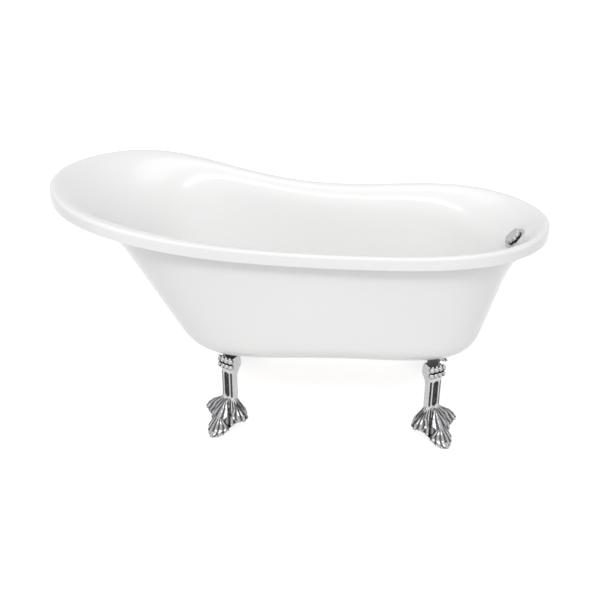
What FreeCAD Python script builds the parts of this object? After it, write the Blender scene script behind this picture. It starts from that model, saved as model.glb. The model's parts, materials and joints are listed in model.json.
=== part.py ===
import FreeCAD
import Part

import math
import os
import re

from FreeCAD import Placement, Rotation, Vector

# Slipper bathtub on four cast claw legs. Millimetres, +Z up. The origin is on the floor under the
# middle of the rim. The high head end is at -X, the low foot end with waste and overflow at +X, and
# the front side of the bath is at -Y.

os.makedirs("parts", exist_ok=True)
doc = FreeCAD.newDocument("ClawfootBathtub")

# --------------------------------------------------------------------------------------------------
# Driving dimensions
# --------------------------------------------------------------------------------------------------

SIZES = (
    # rim
    ("rim_length", 1500),
    ("rim_width", 724),
    ("rim_head_height", 768),
    ("rim_back_height", 740),
    ("rim_shoulder_height", 691),
    ("rim_middle_height", 658),
    ("rim_low_height", 655),
    ("rim_toe_height", 665),
    ("rim_foot_height", 667),
    ("lip_depth", 36),
    ("lip_round", 9),
    ("lip_flat", 20),
    # basin, the inner sheet
    ("basin_wall", 5),
    ("floor_height", 310),
    ("floor_head_reach", 315),
    ("floor_foot_reach", 510),
    ("floor_half_width", 212),
    ("floor_radius", 90),
    ("basin_head_inset", 143),
    ("basin_foot_inset", 95),
    ("basin_side_inset", 72),
    # outer shell
    ("shell_wall", 4),
    ("underside_height", 265),
    ("shell_head_reach", 322),
    ("shell_foot_reach", 552),
    ("shell_half_width", 243),
    ("shell_radius", 64),
    ("shell_head_inset", 113),
    ("shell_foot_inset", 73),
    ("shell_side_inset", 54),
    ("shell_top_inset", 14),
    ("bond_gap", 0.3),
    ("shell_flange", 34),
    # legs
    ("leg_head_x", -203),
    ("leg_foot_x", 428),
    ("leg_y", 184),
    ("leg_splay", 31),
    ("leg_top", 250),
    ("leg_width", 45),
    ("leg_depth", 28),
    ("leg_front", 19),
    ("leg_wall", 8),
    ("leg_plate", 12),
    ("skirt_height", 104),
    ("skirt_radius", 80),
    ("toe_reach", 104),
    ("bead_radius", 9.5),
    ("bead_rise", 3.5),
    ("sole_height", 12),
    ("pad_thickness", 3),
    ("pad_width", 22),
    ("pad_length", 42),
    ("pad_heel", 52),
    ("heel_rise", 60),
    # leg fasteners and frame
    ("bolt_back", 8),
    ("bolt_radius", 4),
    ("bolt_head_width", 13),
    ("bolt_head_height", 5.3),
    ("bolt_tail", 3),
    ("washer_radius", 10),
    ("washer_thickness", 1.6),
    ("nut_height", 6.5),
    ("hole_clearance", 0.5),
    ("spacer_width", 30),
    ("spacer_rib", 2),
    ("spacer_gap", 1.5),
    ("rail_height", 14),
    ("rail_width", 20),
    ("rail_wall", 2),
    ("rail_overhang", 15),
    ("cross_rail_head_x", -140),
    ("cross_rail_middle_x", 230),
    ("board_thickness", 15),
    ("board_head_x", -220),
    ("board_foot_x", 446),
    ("board_half_width", 186),
    ("board_notch", 90),
    ("screw_radius", 2),
    ("screw_head_radius", 4),
    ("screw_head_height", 2.5),
    ("screw_length", 11),
    # waste
    ("drain_x", 375),
    ("drain_hole_radius", 23),
    ("flange_radius", 36),
    ("flange_thickness", 5),
    ("flange_recess_radius", 26),
    ("flange_recess_depth", 3),
    ("flange_tube_radius", 21),
    ("flange_tube_length", 32),
    ("drain_bore", 17.5),
    ("spider_height", 4),
    ("spider_bar", 4),
    ("spider_hub", 7),
    ("stem_radius", 4),
    ("stem_clearance", 0.05),
    ("seal_thickness", 2),
    ("waste_radius", 25),
    ("waste_depth", 57),
    ("inlet_drop", 19),
    ("inlet_radius", 14),
    ("inlet_length", 16),
    ("thread_clearance", 0.05),
    ("tail_radius", 19.05),
    ("tail_spigot_radius", 18.7),
    ("tail_wall", 2),
    ("tail_end_height", 172),
    ("tail_insert", 5),
    ("pipe_nut_wall", 7),
    ("tail_nut_height", 14),
    ("stopper_radius", 24.5),
    ("stopper_height", 5),
    ("stopper_lift", 10),
    ("stopper_gap", 0.1),
    ("lever_length", 17),
    ("lever_width", 6),
    ("lever_thickness", 3),
    ("lever_gap", 0.6),
    ("lever_drop", 11),
    ("lever_pin_radius", 1.5),
    # overflow
    ("overflow_height", 596),
    ("overflow_hole_radius", 24),
    ("overflow_pad_radius", 45),
    ("overflow_pad_rise", 2),
    ("plate_radius", 37),
    ("plate_thickness", 5),
    ("plate_slot_radius", 3.5),
    ("plate_slot_ring", 13.5),
    ("knob_radius", 28),
    ("knob_height", 10),
    ("knob_gap", 2),
    ("knob_scallop_radius", 7),
    ("spindle_radius", 4),
    ("spindle_seat", 6),
    ("channel_width", 44),
    ("channel_thickness", 7.5),
    ("channel_wall", 1.5),
    ("channel_rise", 24),
    ("channel_drop", 19),
    ("channel_end_height", 470),
    ("channel_mouth_radius", 20),
    ("overflow_pipe_radius", 9),
    ("overflow_pipe_wall", 2),
    ("upper_nut_height", 14),
    ("lower_nut_height", 12),
    ("cable_radius", 2.5),
    ("cable_y", 28),
    ("cable_top_height", 545),
    ("cable_ear", 12),
)

# Half-width of the rim as a sum of sines of the angle round the bath, and how square and how tapered
# the two low outlines are.
RIM_HARMONICS = (1.0, 0.064, 0.138, -0.010, -0.034)
LOW_SQUARENESS = 4.5
LOW_TAPER = 0.07
RING_POINTS = 48
SCALLOPS = 8
PLATE_SLOTS = 8
SKIRT_RIBS = 20
SKIRT_POINTS = 80

sheet = doc.addObject("Spreadsheet::Sheet", "Sizes")
for row, (alias, number) in enumerate(SIZES, 1):
    sheet.set("A%d" % row, alias.replace("_", " "))
    sheet.set("B%d" % row, str(number))
    sheet.setAlias("B%d" % row, alias)
doc.recompute()

ALIASES = frozenset(alias for alias, number in SIZES)


class Sizes:
    """The sheet's cells, read by name."""

    def __getattr__(self, alias):
        return float(sheet.get(alias))


size = Sizes()


def formula(text):
    """A formula of the sheet's names, written so that an object's property can be bound to it."""
    return re.sub(r"[a-z][a-z_]+", lambda word: "Sizes." + word.group(0)
                  if word.group(0) in ALIASES else word.group(0), text)


def bind(item, **formulas):
    """Bind properties to the sheet; x, y and z stand for the place."""
    for name, text in formulas.items():
        target = "Placement.Base." + name if name in ("x", "y", "z") else name
        item.setExpression(target, formula(text))
    return item


# --------------------------------------------------------------------------------------------------
# Small builders
# --------------------------------------------------------------------------------------------------

parts = {}


def keep(label, item, placement=None):
    """Make an object a sub-part under the name of its file."""
    item.Label = label
    if placement is not None:
        item.Placement = placement
    parts[label] = item
    return item


def disc(radius, bottom, top, x="0", y="0"):
    """Upright cylinder between two heights, every size a formula of the sheet."""
    item = doc.addObject("Part::Cylinder", "Disc")
    height = "(%s) - (%s)" % (top, bottom)
    return bind(item, Radius=radius, Height=height, x=x, y=y, z=bottom)


def block(length, width, height, x, y, z):
    """Box centred on x and y that stands on z."""
    item = doc.addObject("Part::Box", "Block")
    corner_x = "(%s) - (%s) / 2" % (x, length)
    corner_y = "(%s) - (%s) / 2" % (y, width)
    return bind(item, Length=length, Width=width, Height=height, x=corner_x, y=corner_y, z=z)


def hexagon(width, bottom, height, x="0", y="0"):
    """Upright hexagonal prism, width measured across its flats."""
    item = doc.addObject("Part::Prism", "Hexagon")
    item.Polygon = 6
    return bind(item, Circumradius="(%s) / sqrt(3)" % width, Height=height, x=x, y=y, z=bottom)


def fuse(*items):
    joined = doc.addObject("Part::MultiFuse", "Joined")
    joined.Shapes = list(items)
    return joined


def cut(base, *tools):
    tool = tools[0] if len(tools) == 1 else fuse(*tools)
    item = doc.addObject("Part::Cut", "Cut")
    item.Base = base
    item.Tool = tool
    return item


def group(*items):
    """Separate solids that share one node."""
    item = doc.addObject("Part::Compound", "Group")
    item.Links = list(items)
    return item


def shaped(label, shape, placement=None):
    """A sub-part whose shape is worked out below."""
    item = doc.addObject("Part::Feature", "Shaped")
    item.Shape = shape
    return keep(label, item, placement)


def smooth_ring(points):
    """Closed smooth outline; even steps keep the outlines of one skin alike."""
    curve = Part.BSplineCurve()
    steps = [k / len(points) for k in range(len(points) + 1)]
    curve.interpolate(Points=points, PeriodicFlag=True, Parameters=steps)
    return Part.Wire(curve.toShape())


def rounded_path(points, bend):
    """Wire of straight runs joined by tangent arcs; bend is an arc's share of its shorter run."""
    edges = []
    start = points[0]
    for before, corner, after in zip(points, points[1:], points[2:]):
        into = (corner - before).normalize()
        out = (after - corner).normalize()
        turn = into.getAngle(out)
        trim = bend * min((corner - before).Length, (after - corner).Length)
        entry = corner - into * trim
        leave = corner + out * trim
        radius = trim / math.tan(turn / 2)
        inward = (out - into).normalize()
        centre = corner + inward * (radius / math.cos(turn / 2))
        middle = centre - inward * radius
        edges.append(Part.makeLine(start, entry))
        edges.append(Part.Arc(entry, middle, leave).toShape())
        start = leave
    edges.append(Part.makeLine(start, points[-1]))
    return Part.Wire(edges)


def tube(path, radius, bore=0.0):
    """Round tube along a path, hollow where a bore is given."""
    start = path.OrderedEdges[0]
    origin = start.valueAt(start.FirstParameter)
    direction = start.tangentAt(start.FirstParameter)
    solid = path.makePipeShell([Part.Wire(Part.makeCircle(radius, origin, direction))], True, False)
    if bore > 0:
        hollow = path.makePipeShell([Part.Wire(Part.makeCircle(bore, origin, direction))], True, False)
        solid = solid.cut(hollow)
    return solid


# --------------------------------------------------------------------------------------------------
# The two acrylic sheets
# --------------------------------------------------------------------------------------------------

def rim_share(angle):
    """Half-width of the rim at an angle round the bath, as a share of its widest."""
    return sum(part * math.sin((order + 1) * angle) for order, part in enumerate(RIM_HARMONICS))


WIDEST = max(rim_share(math.pi * step / 400) for step in range(400))


def rim_heights():
    """Curve of the rim's height over its length, seen from the side."""
    heights = (size.rim_head_height, size.rim_back_height, size.rim_shoulder_height,
               size.rim_middle_height, size.rim_low_height, size.rim_toe_height,
               size.rim_foot_height)
    spacing = size.rim_length / (len(heights) - 1)
    points = [Vector(-size.rim_length / 2 + spacing * k, 0, height) for k, height in enumerate(heights)]
    curve = Part.BSplineCurve()
    curve.interpolate(Points=points, Parameters=[point.x for point in points])
    return curve


RIM_LINE = rim_heights()


def rim_point(angle, head_inset, foot_inset, side_inset, drop):
    """Point of an outline that follows the rim, drawn in from its ends and sides."""
    along = -math.cos(angle)
    head = -size.rim_length / 2 + head_inset
    foot = size.rim_length / 2 - foot_inset
    across = (size.rim_width / 2 - side_inset) * rim_share(angle) / WIDEST
    height = RIM_LINE.value(along * size.rim_length / 2).z - drop
    return Vector((head + foot) / 2 + (foot - head) / 2 * along, -across, height)


def low_point(angle, head, foot, half_width, height):
    """Point of the squared outline at the foot of a wall."""
    cosine = math.cos(angle)
    sine = math.sin(angle)
    along = -math.copysign(abs(cosine) ** (2 / LOW_SQUARENESS), cosine)
    across = math.copysign(abs(sine) ** (2 / LOW_SQUARENESS), sine)
    across = half_width * across * (1 - LOW_TAPER * along)
    return Vector((foot - head) / 2 + (foot + head) / 2 * along, -across, height)


class Sheet:
    """One face of a sheet: a rounded low corner, a sloping wall and a flare out to the rim.

    grow moves the face outwards, to reach the other side of the sheet. The flare starts lower and is
    wider at the two ends than along the sides.
    """

    def __init__(self, name, grow, lower, top_inset, top_drop, flare_side, flare_end):
        self.insets = [getattr(size, "%s_%s_inset" % (name, end)) - grow
                       for end in ("head", "foot", "side")]
        low = "floor" if name == "basin" else name
        self.head = getattr(size, low + "_head_reach") + grow
        self.foot = getattr(size, low + "_foot_reach") + grow
        self.half_width = getattr(size, low + "_half_width") + grow
        self.radius = getattr(size, low + "_radius") + grow
        self.height = (size.floor_height if name == "basin" else size.underside_height) - lower
        self.top_inset = top_inset
        self.top_drop = top_drop
        self.flare_side = flare_side
        self.flare_end = flare_end

    def low(self, angle):
        return low_point(angle, self.head, self.foot, self.half_width, self.height)

    def inward(self, angle):
        middle = Vector((self.foot - self.head) / 2, 0, self.height)
        return (middle - self.low(angle)).normalize()

    def wall(self, angle, share):
        """Point on the straight wall, share 0 at its foot and 1 level with the lip's lower edge."""
        low = self.low(angle)
        high = rim_point(angle, *self.insets, size.lip_depth)
        return low + (high - low) * share

    def corner(self, angle, turn):
        """Point on the rounded low corner, turn 0 on the flat and 90 degrees on the wall."""
        rise = self.radius * (1 - math.cos(turn))
        low = self.low(angle)
        slope = self.wall(angle, 1) - low
        point = low + slope * (rise / slope.z)
        return point + self.inward(angle) * self.radius * (1 - math.sin(turn))

    def flat(self, angle, inwards):
        return self.low(angle) + self.inward(angle) * (self.radius + inwards)

    def flare(self, angle, share):
        """Point on the flare, share 0 on the wall and 1 at the top."""
        end = math.cos(angle) ** 4
        first, second = (side + (tip - side) * end for side, tip in zip(self.flare_side, self.flare_end))
        start = self.wall(angle, first)
        bend = self.wall(angle, second)
        top = rim_point(angle, self.top_inset, self.top_inset, self.top_inset, self.top_drop)
        rest = 1 - share
        return start * rest * rest + bend * (2 * share * rest) + top * (share * share)

    def skins(self):
        """The flare, the straight wall and the rounded corner, from the top down."""
        flare = [lambda angle, share=share: self.flare(angle, share) for share in FLARE_STEPS]
        corner = [lambda angle, turn=turn: self.corner(angle, math.radians(turn))
                  for turn in CORNER_STEPS]
        return [skin(flare), skin([flare[-1], corner[0]]), skin(corner)]

    def foot_point(self, height):
        """Point at a height on the middle line of the foot end."""
        line = [self.wall(math.pi, step / 100) for step in range(100)
                if self.wall(math.pi, step / 100).z < self.flare(math.pi, 0).z]
        line += [self.flare(math.pi, step / 60) for step in range(61)]
        for lower, upper in zip(line, line[1:]):
            if lower.z <= height <= upper.z:
                return lower + (upper - lower) * ((height - lower.z) / (upper.z - lower.z))
        raise ValueError("no wall at height %.1f" % height)


FLARE_STEPS = (1.0, 0.8, 0.6, 0.4, 0.2, 0.0)
CORNER_STEPS = (90, 67.5, 45, 22.5, 0)
ROUND_STEPS = (0, 30, 60, 90)
BASIN_FLARE_SIDE = (0.84, 1.07)
BASIN_FLARE_END = (0.62, 0.83)
SHELL_FLARE_SIDE = (0.86, 1.02)
SHELL_FLARE_END = (0.62, 0.79)

LIP_DISH = 0.6
SLANT = 1.1
basin_face = Sheet("basin", 0, 0, size.lip_flat, LIP_DISH, BASIN_FLARE_SIDE, BASIN_FLARE_END)
basin_back = Sheet("basin", size.basin_wall * SLANT, size.basin_wall, size.lip_flat,
                   LIP_DISH + size.basin_wall, BASIN_FLARE_SIDE, BASIN_FLARE_END)
shell_top_drop = LIP_DISH + size.basin_wall + size.bond_gap
shell_face = Sheet("shell", 0, 0, size.shell_top_inset, shell_top_drop,
                   SHELL_FLARE_SIDE, SHELL_FLARE_END)
shell_back = Sheet("shell", -size.shell_wall * SLANT, -size.shell_wall,
                   size.shell_top_inset + size.shell_wall, shell_top_drop,
                   SHELL_FLARE_SIDE, SHELL_FLARE_END)


def ring_wire(place):
    """Smooth closed outline through a place's points all the way round."""
    angles = [2 * math.pi * k / RING_POINTS for k in range(RING_POINTS)]
    return smooth_ring([place(angle) for angle in angles])


def skin(places):
    """Smooth skin through outlines; a skin through two of them is straight between them."""
    return Part.makeLoft([ring_wire(place) for place in places], False, len(places) == 2, False, 3)


def lip_place(inset, drop):
    """Outline that follows the rim, drawn in and lowered by the same amounts all round."""
    return lambda angle: rim_point(angle, inset, inset, inset, drop)


def lip_skins(depth):
    """Lip from its lower edge over its round to its flat top, at a depth into the sheet."""
    radius = size.lip_round - depth
    rounding = []
    for turn in ROUND_STEPS:
        turned = math.radians(turn)
        rounding.append(lip_place(size.lip_round - radius * math.cos(turned),
                                  size.lip_round - radius * math.sin(turned)))
    return [skin([lip_place(depth, size.lip_depth), rounding[0]]), skin(rounding),
            skin([rounding[-1], lip_place(size.lip_flat, LIP_DISH + depth)])]


def sewn(shapes):
    """Closed solid from skins that meet edge to edge."""
    sheet_faces = Part.makeCompound([face for shape in shapes for face in shape.Faces])
    sheet_faces.sewShape()
    solid = Part.Solid(sheet_faces.Shells[0])
    if solid.Volume < 0:
        solid = Part.Solid(sheet_faces.Shells[0].reversed())
    return solid


def basin_sheet():
    """Lip, flare, wall and floor as one sheet of even thickness."""
    wall = size.basin_wall
    floor = Part.Face(ring_wire(lambda angle: basin_face.corner(angle, 0)))
    underside = Part.Face(ring_wire(lambda angle: basin_back.corner(angle, 0)))
    lower_edge = skin([lip_place(0, size.lip_depth), lip_place(wall, size.lip_depth)])
    return sewn(lip_skins(0) + basin_face.skins() + [floor]
                + lip_skins(wall) + basin_back.skins() + [underside, lower_edge])


def shell_sheet():
    """Outer shell: open at the top under the lip and open below inside its flange."""
    lift = Vector(0, 0, size.shell_wall)

    def flange_edge(angle):
        return shell_face.flat(angle, size.shell_flange)

    def raised_edge(angle):
        return flange_edge(angle) + lift

    top_edge = skin([lambda angle: shell_face.flare(angle, 1), lambda angle: shell_back.flare(angle, 1)])
    flange = skin([lambda angle: shell_face.corner(angle, 0), flange_edge])
    raised = skin([lambda angle: shell_back.corner(angle, 0), raised_edge])
    return sewn(shell_face.skins() + shell_back.skins()
                + [top_edge, flange, raised, skin([flange_edge, raised_edge])])


# The overflow sits on the wall of the foot end, square to it. Its axis points into the bath.
overflow_point = basin_face.foot_point(size.overflow_height)
above = basin_face.foot_point(size.overflow_height + 4)
below = basin_face.foot_point(size.overflow_height - 4)
along_wall = (above - below).normalize()
overflow_axis = Vector(-along_wall.z, 0, along_wall.x)
overflow_frame = Placement(overflow_point, Rotation(Vector(0, 1, 0), along_wall * -1, overflow_axis))


def overflow_disc(radius, bottom, top):
    """Cylinder on the overflow's axis, measured from the face of the wall."""
    item = Part.makeCylinder(radius, top - bottom, Vector(0, 0, bottom))
    item.Placement = overflow_frame.multiply(item.Placement)
    return item


basin = basin_sheet()
basin = basin.cut(overflow_disc(size.overflow_pad_radius, size.overflow_pad_rise,
                                size.overflow_pad_rise + 12))
basin = basin.cut(overflow_disc(size.overflow_pad_radius, -3 * size.basin_wall, -size.basin_wall))
basin = basin.fuse(overflow_disc(size.overflow_pad_radius, -size.basin_wall, size.overflow_pad_rise))
basin = basin.cut(overflow_disc(size.overflow_hole_radius, -20, 20))
drain_hole = Part.makeCylinder(size.drain_hole_radius, 4 * size.basin_wall,
                               Vector(size.drain_x, 0, size.floor_height - 2 * size.basin_wall))
basin = basin.cut(drain_hole)
shaped("basin_shell", basin)

# --------------------------------------------------------------------------------------------------
# Leg places
# --------------------------------------------------------------------------------------------------

splay = math.radians(size.leg_splay)
LEGS = {
    "head_front": (size.leg_head_x, -size.leg_y, -90 - size.leg_splay),
    "head_rear": (size.leg_head_x, size.leg_y, 90 + size.leg_splay),
    "foot_front": (size.leg_foot_x, -size.leg_y, -90 + size.leg_splay),
    "foot_rear": (size.leg_foot_x, size.leg_y, 90 - size.leg_splay),
}
BOLT_X = {
    "head": "leg_head_x + bolt_back * sin(leg_splay * 1deg)",
    "foot": "leg_foot_x - bolt_back * sin(leg_splay * 1deg)",
}
BOLT_Y = {
    "front": "-(leg_y - bolt_back * cos(leg_splay * 1deg))",
    "rear": "leg_y - bolt_back * cos(leg_splay * 1deg)",
}
RAIL_BOTTOM = "floor_height - basin_wall - board_thickness - rail_height"


def bolt_place(name):
    """Formulas for the place of a leg's bolt."""
    end, side = name.split("_")
    return BOLT_X[end], BOLT_Y[side]


def bolt_point(name):
    x, y, heading = LEGS[name]
    turn = math.radians(heading)
    return Vector(x - size.bolt_back * math.cos(turn), y - size.bolt_back * math.sin(turn), 0)


shell = shell_sheet()
opening_width = size.spacer_width + 2 * size.spacer_gap
for name in LEGS:
    centre = bolt_point(name)
    corner = Vector(centre.x - opening_width / 2, centre.y - opening_width / 2,
                    size.underside_height - opening_width)
    shell = shell.cut(Part.makeBox(opening_width, opening_width, 2 * opening_width, corner))
shaped("outer_shell", shell)

# --------------------------------------------------------------------------------------------------
# Board and steel frame under the basin
# --------------------------------------------------------------------------------------------------

board_top = "floor_height - basin_wall"
board_bottom = "floor_height - basin_wall - board_thickness"
board = block("board_foot_x - board_head_x", "2 * board_half_width", "board_thickness",
              "(board_foot_x + board_head_x) / 2", "0", board_bottom)
notch = block("board_foot_x - drain_x + board_notch", "board_notch", "board_thickness",
              "(board_foot_x + drain_x) / 2", "0", board_bottom)
SCREW_X = ("leg_head_x + 50", "0", "leg_foot_x / 2", "leg_foot_x - 50")


def screw_bore(x, side):
    """Bore of a rail screw, from the rail's top wall up into the board."""
    seat = board_bottom + " - rail_wall"
    return disc("screw_radius", seat + " - 0.01", seat + " + screw_length", x, BOLT_Y[side])


def hollow_rail(length, width, x, y, along_x):
    """Rectangular steel tube under the board."""
    outer = block(length, width, "rail_height", x, y, RAIL_BOTTOM)
    inner_length = length if along_x else "(%s) - 2 * rail_wall" % length
    inner_width = "(%s) - 2 * rail_wall" % width if along_x else width
    inner = block(inner_length, inner_width, "rail_height - 2 * rail_wall", x, y,
                  RAIL_BOTTOM + " + rail_wall")
    return cut(outer, inner)


rail_length = "leg_foot_x - leg_head_x - 2 * bolt_back * sin(leg_splay * 1deg) + 2 * rail_overhang"
for side in ("front", "rear"):
    rail = hollow_rail(rail_length, "rail_width", "(leg_foot_x + leg_head_x) / 2", BOLT_Y[side], True)
    holes = [disc("bolt_radius + hole_clearance", RAIL_BOTTOM + " - 1",
                  RAIL_BOTTOM + " + rail_wall + 1", BOLT_X[end], BOLT_Y[side]) for end in BOLT_X]
    holes += [screw_bore(x, side) for x in SCREW_X]
    keep("side_rail_" + side, cut(rail, *holes))
keep("base_board", cut(board, notch, *[screw_bore(x, side) for x in SCREW_X for side in BOLT_Y]))
for name in ("head", "middle"):
    rail = hollow_rail("rail_width", "2 * (leg_y - bolt_back * cos(leg_splay * 1deg)) - rail_width",
                       "cross_rail_%s_x" % name, "0", False)
    keep("cross_rail_" + name, rail)


def rail_screw(x, y):
    """Wood screw from inside the rail up into the board."""
    seat = board_bottom + " - rail_wall"
    head = disc("screw_head_radius", seat + " - screw_head_height", seat, x, y)
    shank = disc("screw_radius", seat + " - 0.5", seat + " + screw_length", x, y)
    return fuse(head, shank)


screws = [rail_screw(x, BOLT_Y[side]) for x in SCREW_X for side in BOLT_Y]
keep("rail_screws", group(*screws))

# --------------------------------------------------------------------------------------------------
# Cast legs. A leg is drawn facing +X with its shaft on the Z axis, then turned to its place.
# --------------------------------------------------------------------------------------------------

# Skirt outlines from the shaft down to the sole: height, waist, side lobe, front reach and the
# half-angle of the tongue, each height and reach as a share of the skirt's own sizes.
SKIRT_STATIONS = (
    (1.00, 0.23, 0.30, 0.19, 40),
    (0.90, 0.25, 0.44, 0.25, 40),
    (0.79, 0.33, 0.70, 0.34, 40),
    (0.65, 0.45, 0.89, 0.48, 40),
    (0.50, 0.53, 0.98, 0.60, 40),
    (0.36, 0.53, 0.75, 0.71, 40),
    (0.23, 0.48, 0.53, 0.83, 38),
    (0.10, 0.36, 0.36, 0.94, 33),
    (size.pad_thickness / size.skirt_height, 0.28, 0.28, 1.00, 28),
)
LOBE_AT = 70
LOBE_SPREAD = 27
RIB_DEPTH = 0.055


def skirt_wire(station):
    """Ribbed leaf outline at one height."""
    level, waist, lobe, front, spread = station
    waist_reach = waist * size.skirt_radius
    points = []
    for k in range(SKIRT_POINTS):
        angle = 2 * math.pi * k / SKIRT_POINTS
        turned = math.degrees(angle if angle < math.pi else 2 * math.pi - angle)
        tongue = (front * size.toe_reach - waist_reach) * math.exp(-(turned / spread) ** 2)
        side = (lobe - waist) * size.skirt_radius * math.exp(-((turned - LOBE_AT) / LOBE_SPREAD) ** 2)
        rib = 1 + RIB_DEPTH * math.cos(SKIRT_RIBS * angle)
        reach = (waist_reach + side + tongue) * rib
        points.append(Vector(reach * math.cos(angle), reach * math.sin(angle),
                             level * size.skirt_height))
    return smooth_ring(points)


def beads():
    """Two rows of balls across the front of the leg's head."""
    reach = size.leg_width / 2
    radius = size.bead_radius
    solids = []
    for row in (1, 3.1):
        height = size.leg_top + size.bead_rise - radius * row
        for across in (-0.9, -0.3, 0.3, 0.9):
            along = size.leg_front + 2 - 2 * abs(across)
            solids.append(Part.makeSphere(radius, Vector(along, across * reach, height)))
    return solids


def leg_casting():
    half = size.leg_width / 2
    back = size.leg_depth - size.leg_front
    top = size.leg_top
    base = size.skirt_height
    profile = [Vector(-back, -half, base * 0.5), Vector(-back, -half, top - 62),
               Vector(-back - 20, -half, top - 38), Vector(-back - 20, -half, top - 18),
               Vector(-back - 12, -half, top),
               Vector(size.leg_front - 4, -half, top), Vector(size.leg_front, -half, top - 8),
               Vector(size.leg_front, -half, base * 0.5)]
    plate = Part.Face(Part.makePolygon(profile + profile[:1])).extrude(Vector(0, size.leg_width, 0))
    front_edges = [edge for edge in plate.Edges
                   if edge.BoundBox.XMin > size.leg_front - 0.1 and edge.BoundBox.YLength < 0.1]
    plate = plate.makeFillet(4.0, front_edges)
    skirt = Part.makeLoft([skirt_wire(station) for station in SKIRT_STATIONS], True, False, False, 5)
    reach = 2 * size.toe_reach
    behind = Part.makeBox(reach, 2 * reach, reach, Vector(-reach - back - 5, -reach, 0))
    skirt = skirt.cut(behind)
    # the heel is raised off the floor behind the pad
    heel = Part.makePolygon([Vector(size.pad_heel - 2, -reach, 0), Vector(-reach, -reach, 0),
                             Vector(-reach, -reach, size.heel_rise),
                             Vector(-back - 5, -reach, size.heel_rise),
                             Vector(size.pad_heel - 2, -reach, 0)])
    skirt = skirt.cut(Part.Face(heel).extrude(Vector(0, 2 * reach, 0)))
    leg = plate.fuse([skirt] + beads())
    # flutes down the shaft
    flute_bottom = base + 8
    flute_top = top - 4.6 * size.bead_radius - 6
    for across, radius, sink in ((0, 8, 3), (half * 0.72, 4, 2), (-half * 0.72, 4, 2)):
        axis = Vector(size.leg_front + radius - sink, across, flute_bottom)
        leg = leg.cut(Part.makeCylinder(radius, flute_top - flute_bottom, axis))
        leg = leg.cut(Part.makeSphere(radius, axis))
        leg = leg.cut(Part.makeSphere(radius, axis + Vector(0, 0, flute_top - flute_bottom)))
    # hollow back, open towards the middle of the bath, and the bolt's hole in the top plate
    hollow_height = top - size.leg_plate - size.sole_height
    hollow = Part.makeBox(reach, size.leg_width - 2 * size.leg_wall, hollow_height,
                          Vector(size.leg_front - 11 - reach, -half + size.leg_wall,
                                 size.sole_height))
    leg = leg.cut(hollow)
    bolt_hole = Part.makeCylinder(size.bolt_radius + size.hole_clearance, 3 * size.leg_plate,
                                  Vector(-size.bolt_back, 0, top - 2 * size.leg_plate))
    return leg.cut(bolt_hole)


def floor_pad():
    """Thin pad under the sole, rounded at both ends."""
    radius = size.pad_width / 2
    straight = size.pad_length - size.pad_width
    pad = Part.makeBox(straight, size.pad_width, size.pad_thickness, Vector(0, -radius, 0))
    for x in (0, straight):
        pad = pad.fuse(Part.makeCylinder(radius, size.pad_thickness, Vector(x, 0, 0)))
    return pad.removeSplitter()


casting = leg_casting()
pad = floor_pad()
pad_place = Placement(Vector(size.pad_heel + size.pad_width / 2, 0, 0), Rotation())
for name, (x, y, heading) in LEGS.items():
    place = Placement(Vector(x, y, 0), Rotation(Vector(0, 0, 1), heading))
    shaped("leg_" + name, casting, place)
    shaped("floor_pad_" + name, pad, place.multiply(pad_place))


def spacer(name):
    """Ribbed block between a rail and the top of a leg."""
    x, y = bolt_place(name)
    height = RAIL_BOTTOM + " - leg_top"
    core = block("spacer_width - spacer_rib", "spacer_width - spacer_rib", height, x, y, "leg_top")
    ribs = []
    for k in range(5):
        offset = " + (spacer_width - spacer_rib) * %s" % (k / 4 - 0.5)
        ribs.append(block("spacer_rib", "spacer_width", height, x + offset, y, "leg_top"))
        ribs.append(block("spacer_width", "spacer_rib", height, x, y + offset, "leg_top"))
    hole = disc("bolt_radius + hole_clearance", "leg_top - 1", RAIL_BOTTOM + " + 1", x, y)
    return cut(fuse(core, *ribs), hole)


for name in LEGS:
    keep("spacer_" + name, spacer(name))


def leg_bolt(name):
    x, y = bolt_place(name)
    seat = "leg_top - leg_plate - washer_thickness"
    tip = RAIL_BOTTOM + " + rail_wall + nut_height + bolt_tail - 1"
    head = hexagon("bolt_head_width", seat + " - bolt_head_height", "bolt_head_height", x, y)
    return fuse(head, disc("bolt_radius", seat + " - bolt_head_height", tip, x, y))


def leg_washer(name):
    x, y = bolt_place(name)
    seat = "leg_top - leg_plate"
    ring = disc("washer_radius", seat + " - washer_thickness", seat, x, y)
    return cut(ring, disc("bolt_radius + hole_clearance", seat + " - 9", seat + " + 1", x, y))


def rail_nut(name):
    x, y = bolt_place(name)
    seat = RAIL_BOTTOM + " + rail_wall"
    body = hexagon("bolt_head_width", seat, "nut_height", x, y)
    return cut(body, disc("bolt_radius", seat + " - 1", seat + " + nut_height + 1", x, y))


keep("leg_bolts", group(*[leg_bolt(name) for name in LEGS]))
keep("leg_washers", group(*[leg_washer(name) for name in LEGS]))
keep("rail_nuts", group(*[rail_nut(name) for name in LEGS]))

# --------------------------------------------------------------------------------------------------
# Waste in the floor
# --------------------------------------------------------------------------------------------------

FLANGE_SEAT = "floor_height + seal_thickness / 2"
FLANGE_TOP = FLANGE_SEAT + " + flange_thickness"
RECESS = FLANGE_TOP + " - flange_recess_depth"
TUBE_END = "floor_height - flange_tube_length"
WASTE_TOP = "floor_height - basin_wall - seal_thickness"
WASTE_BOTTOM = WASTE_TOP + " - waste_depth"
DRAIN = {"x": "drain_x"}

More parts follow.
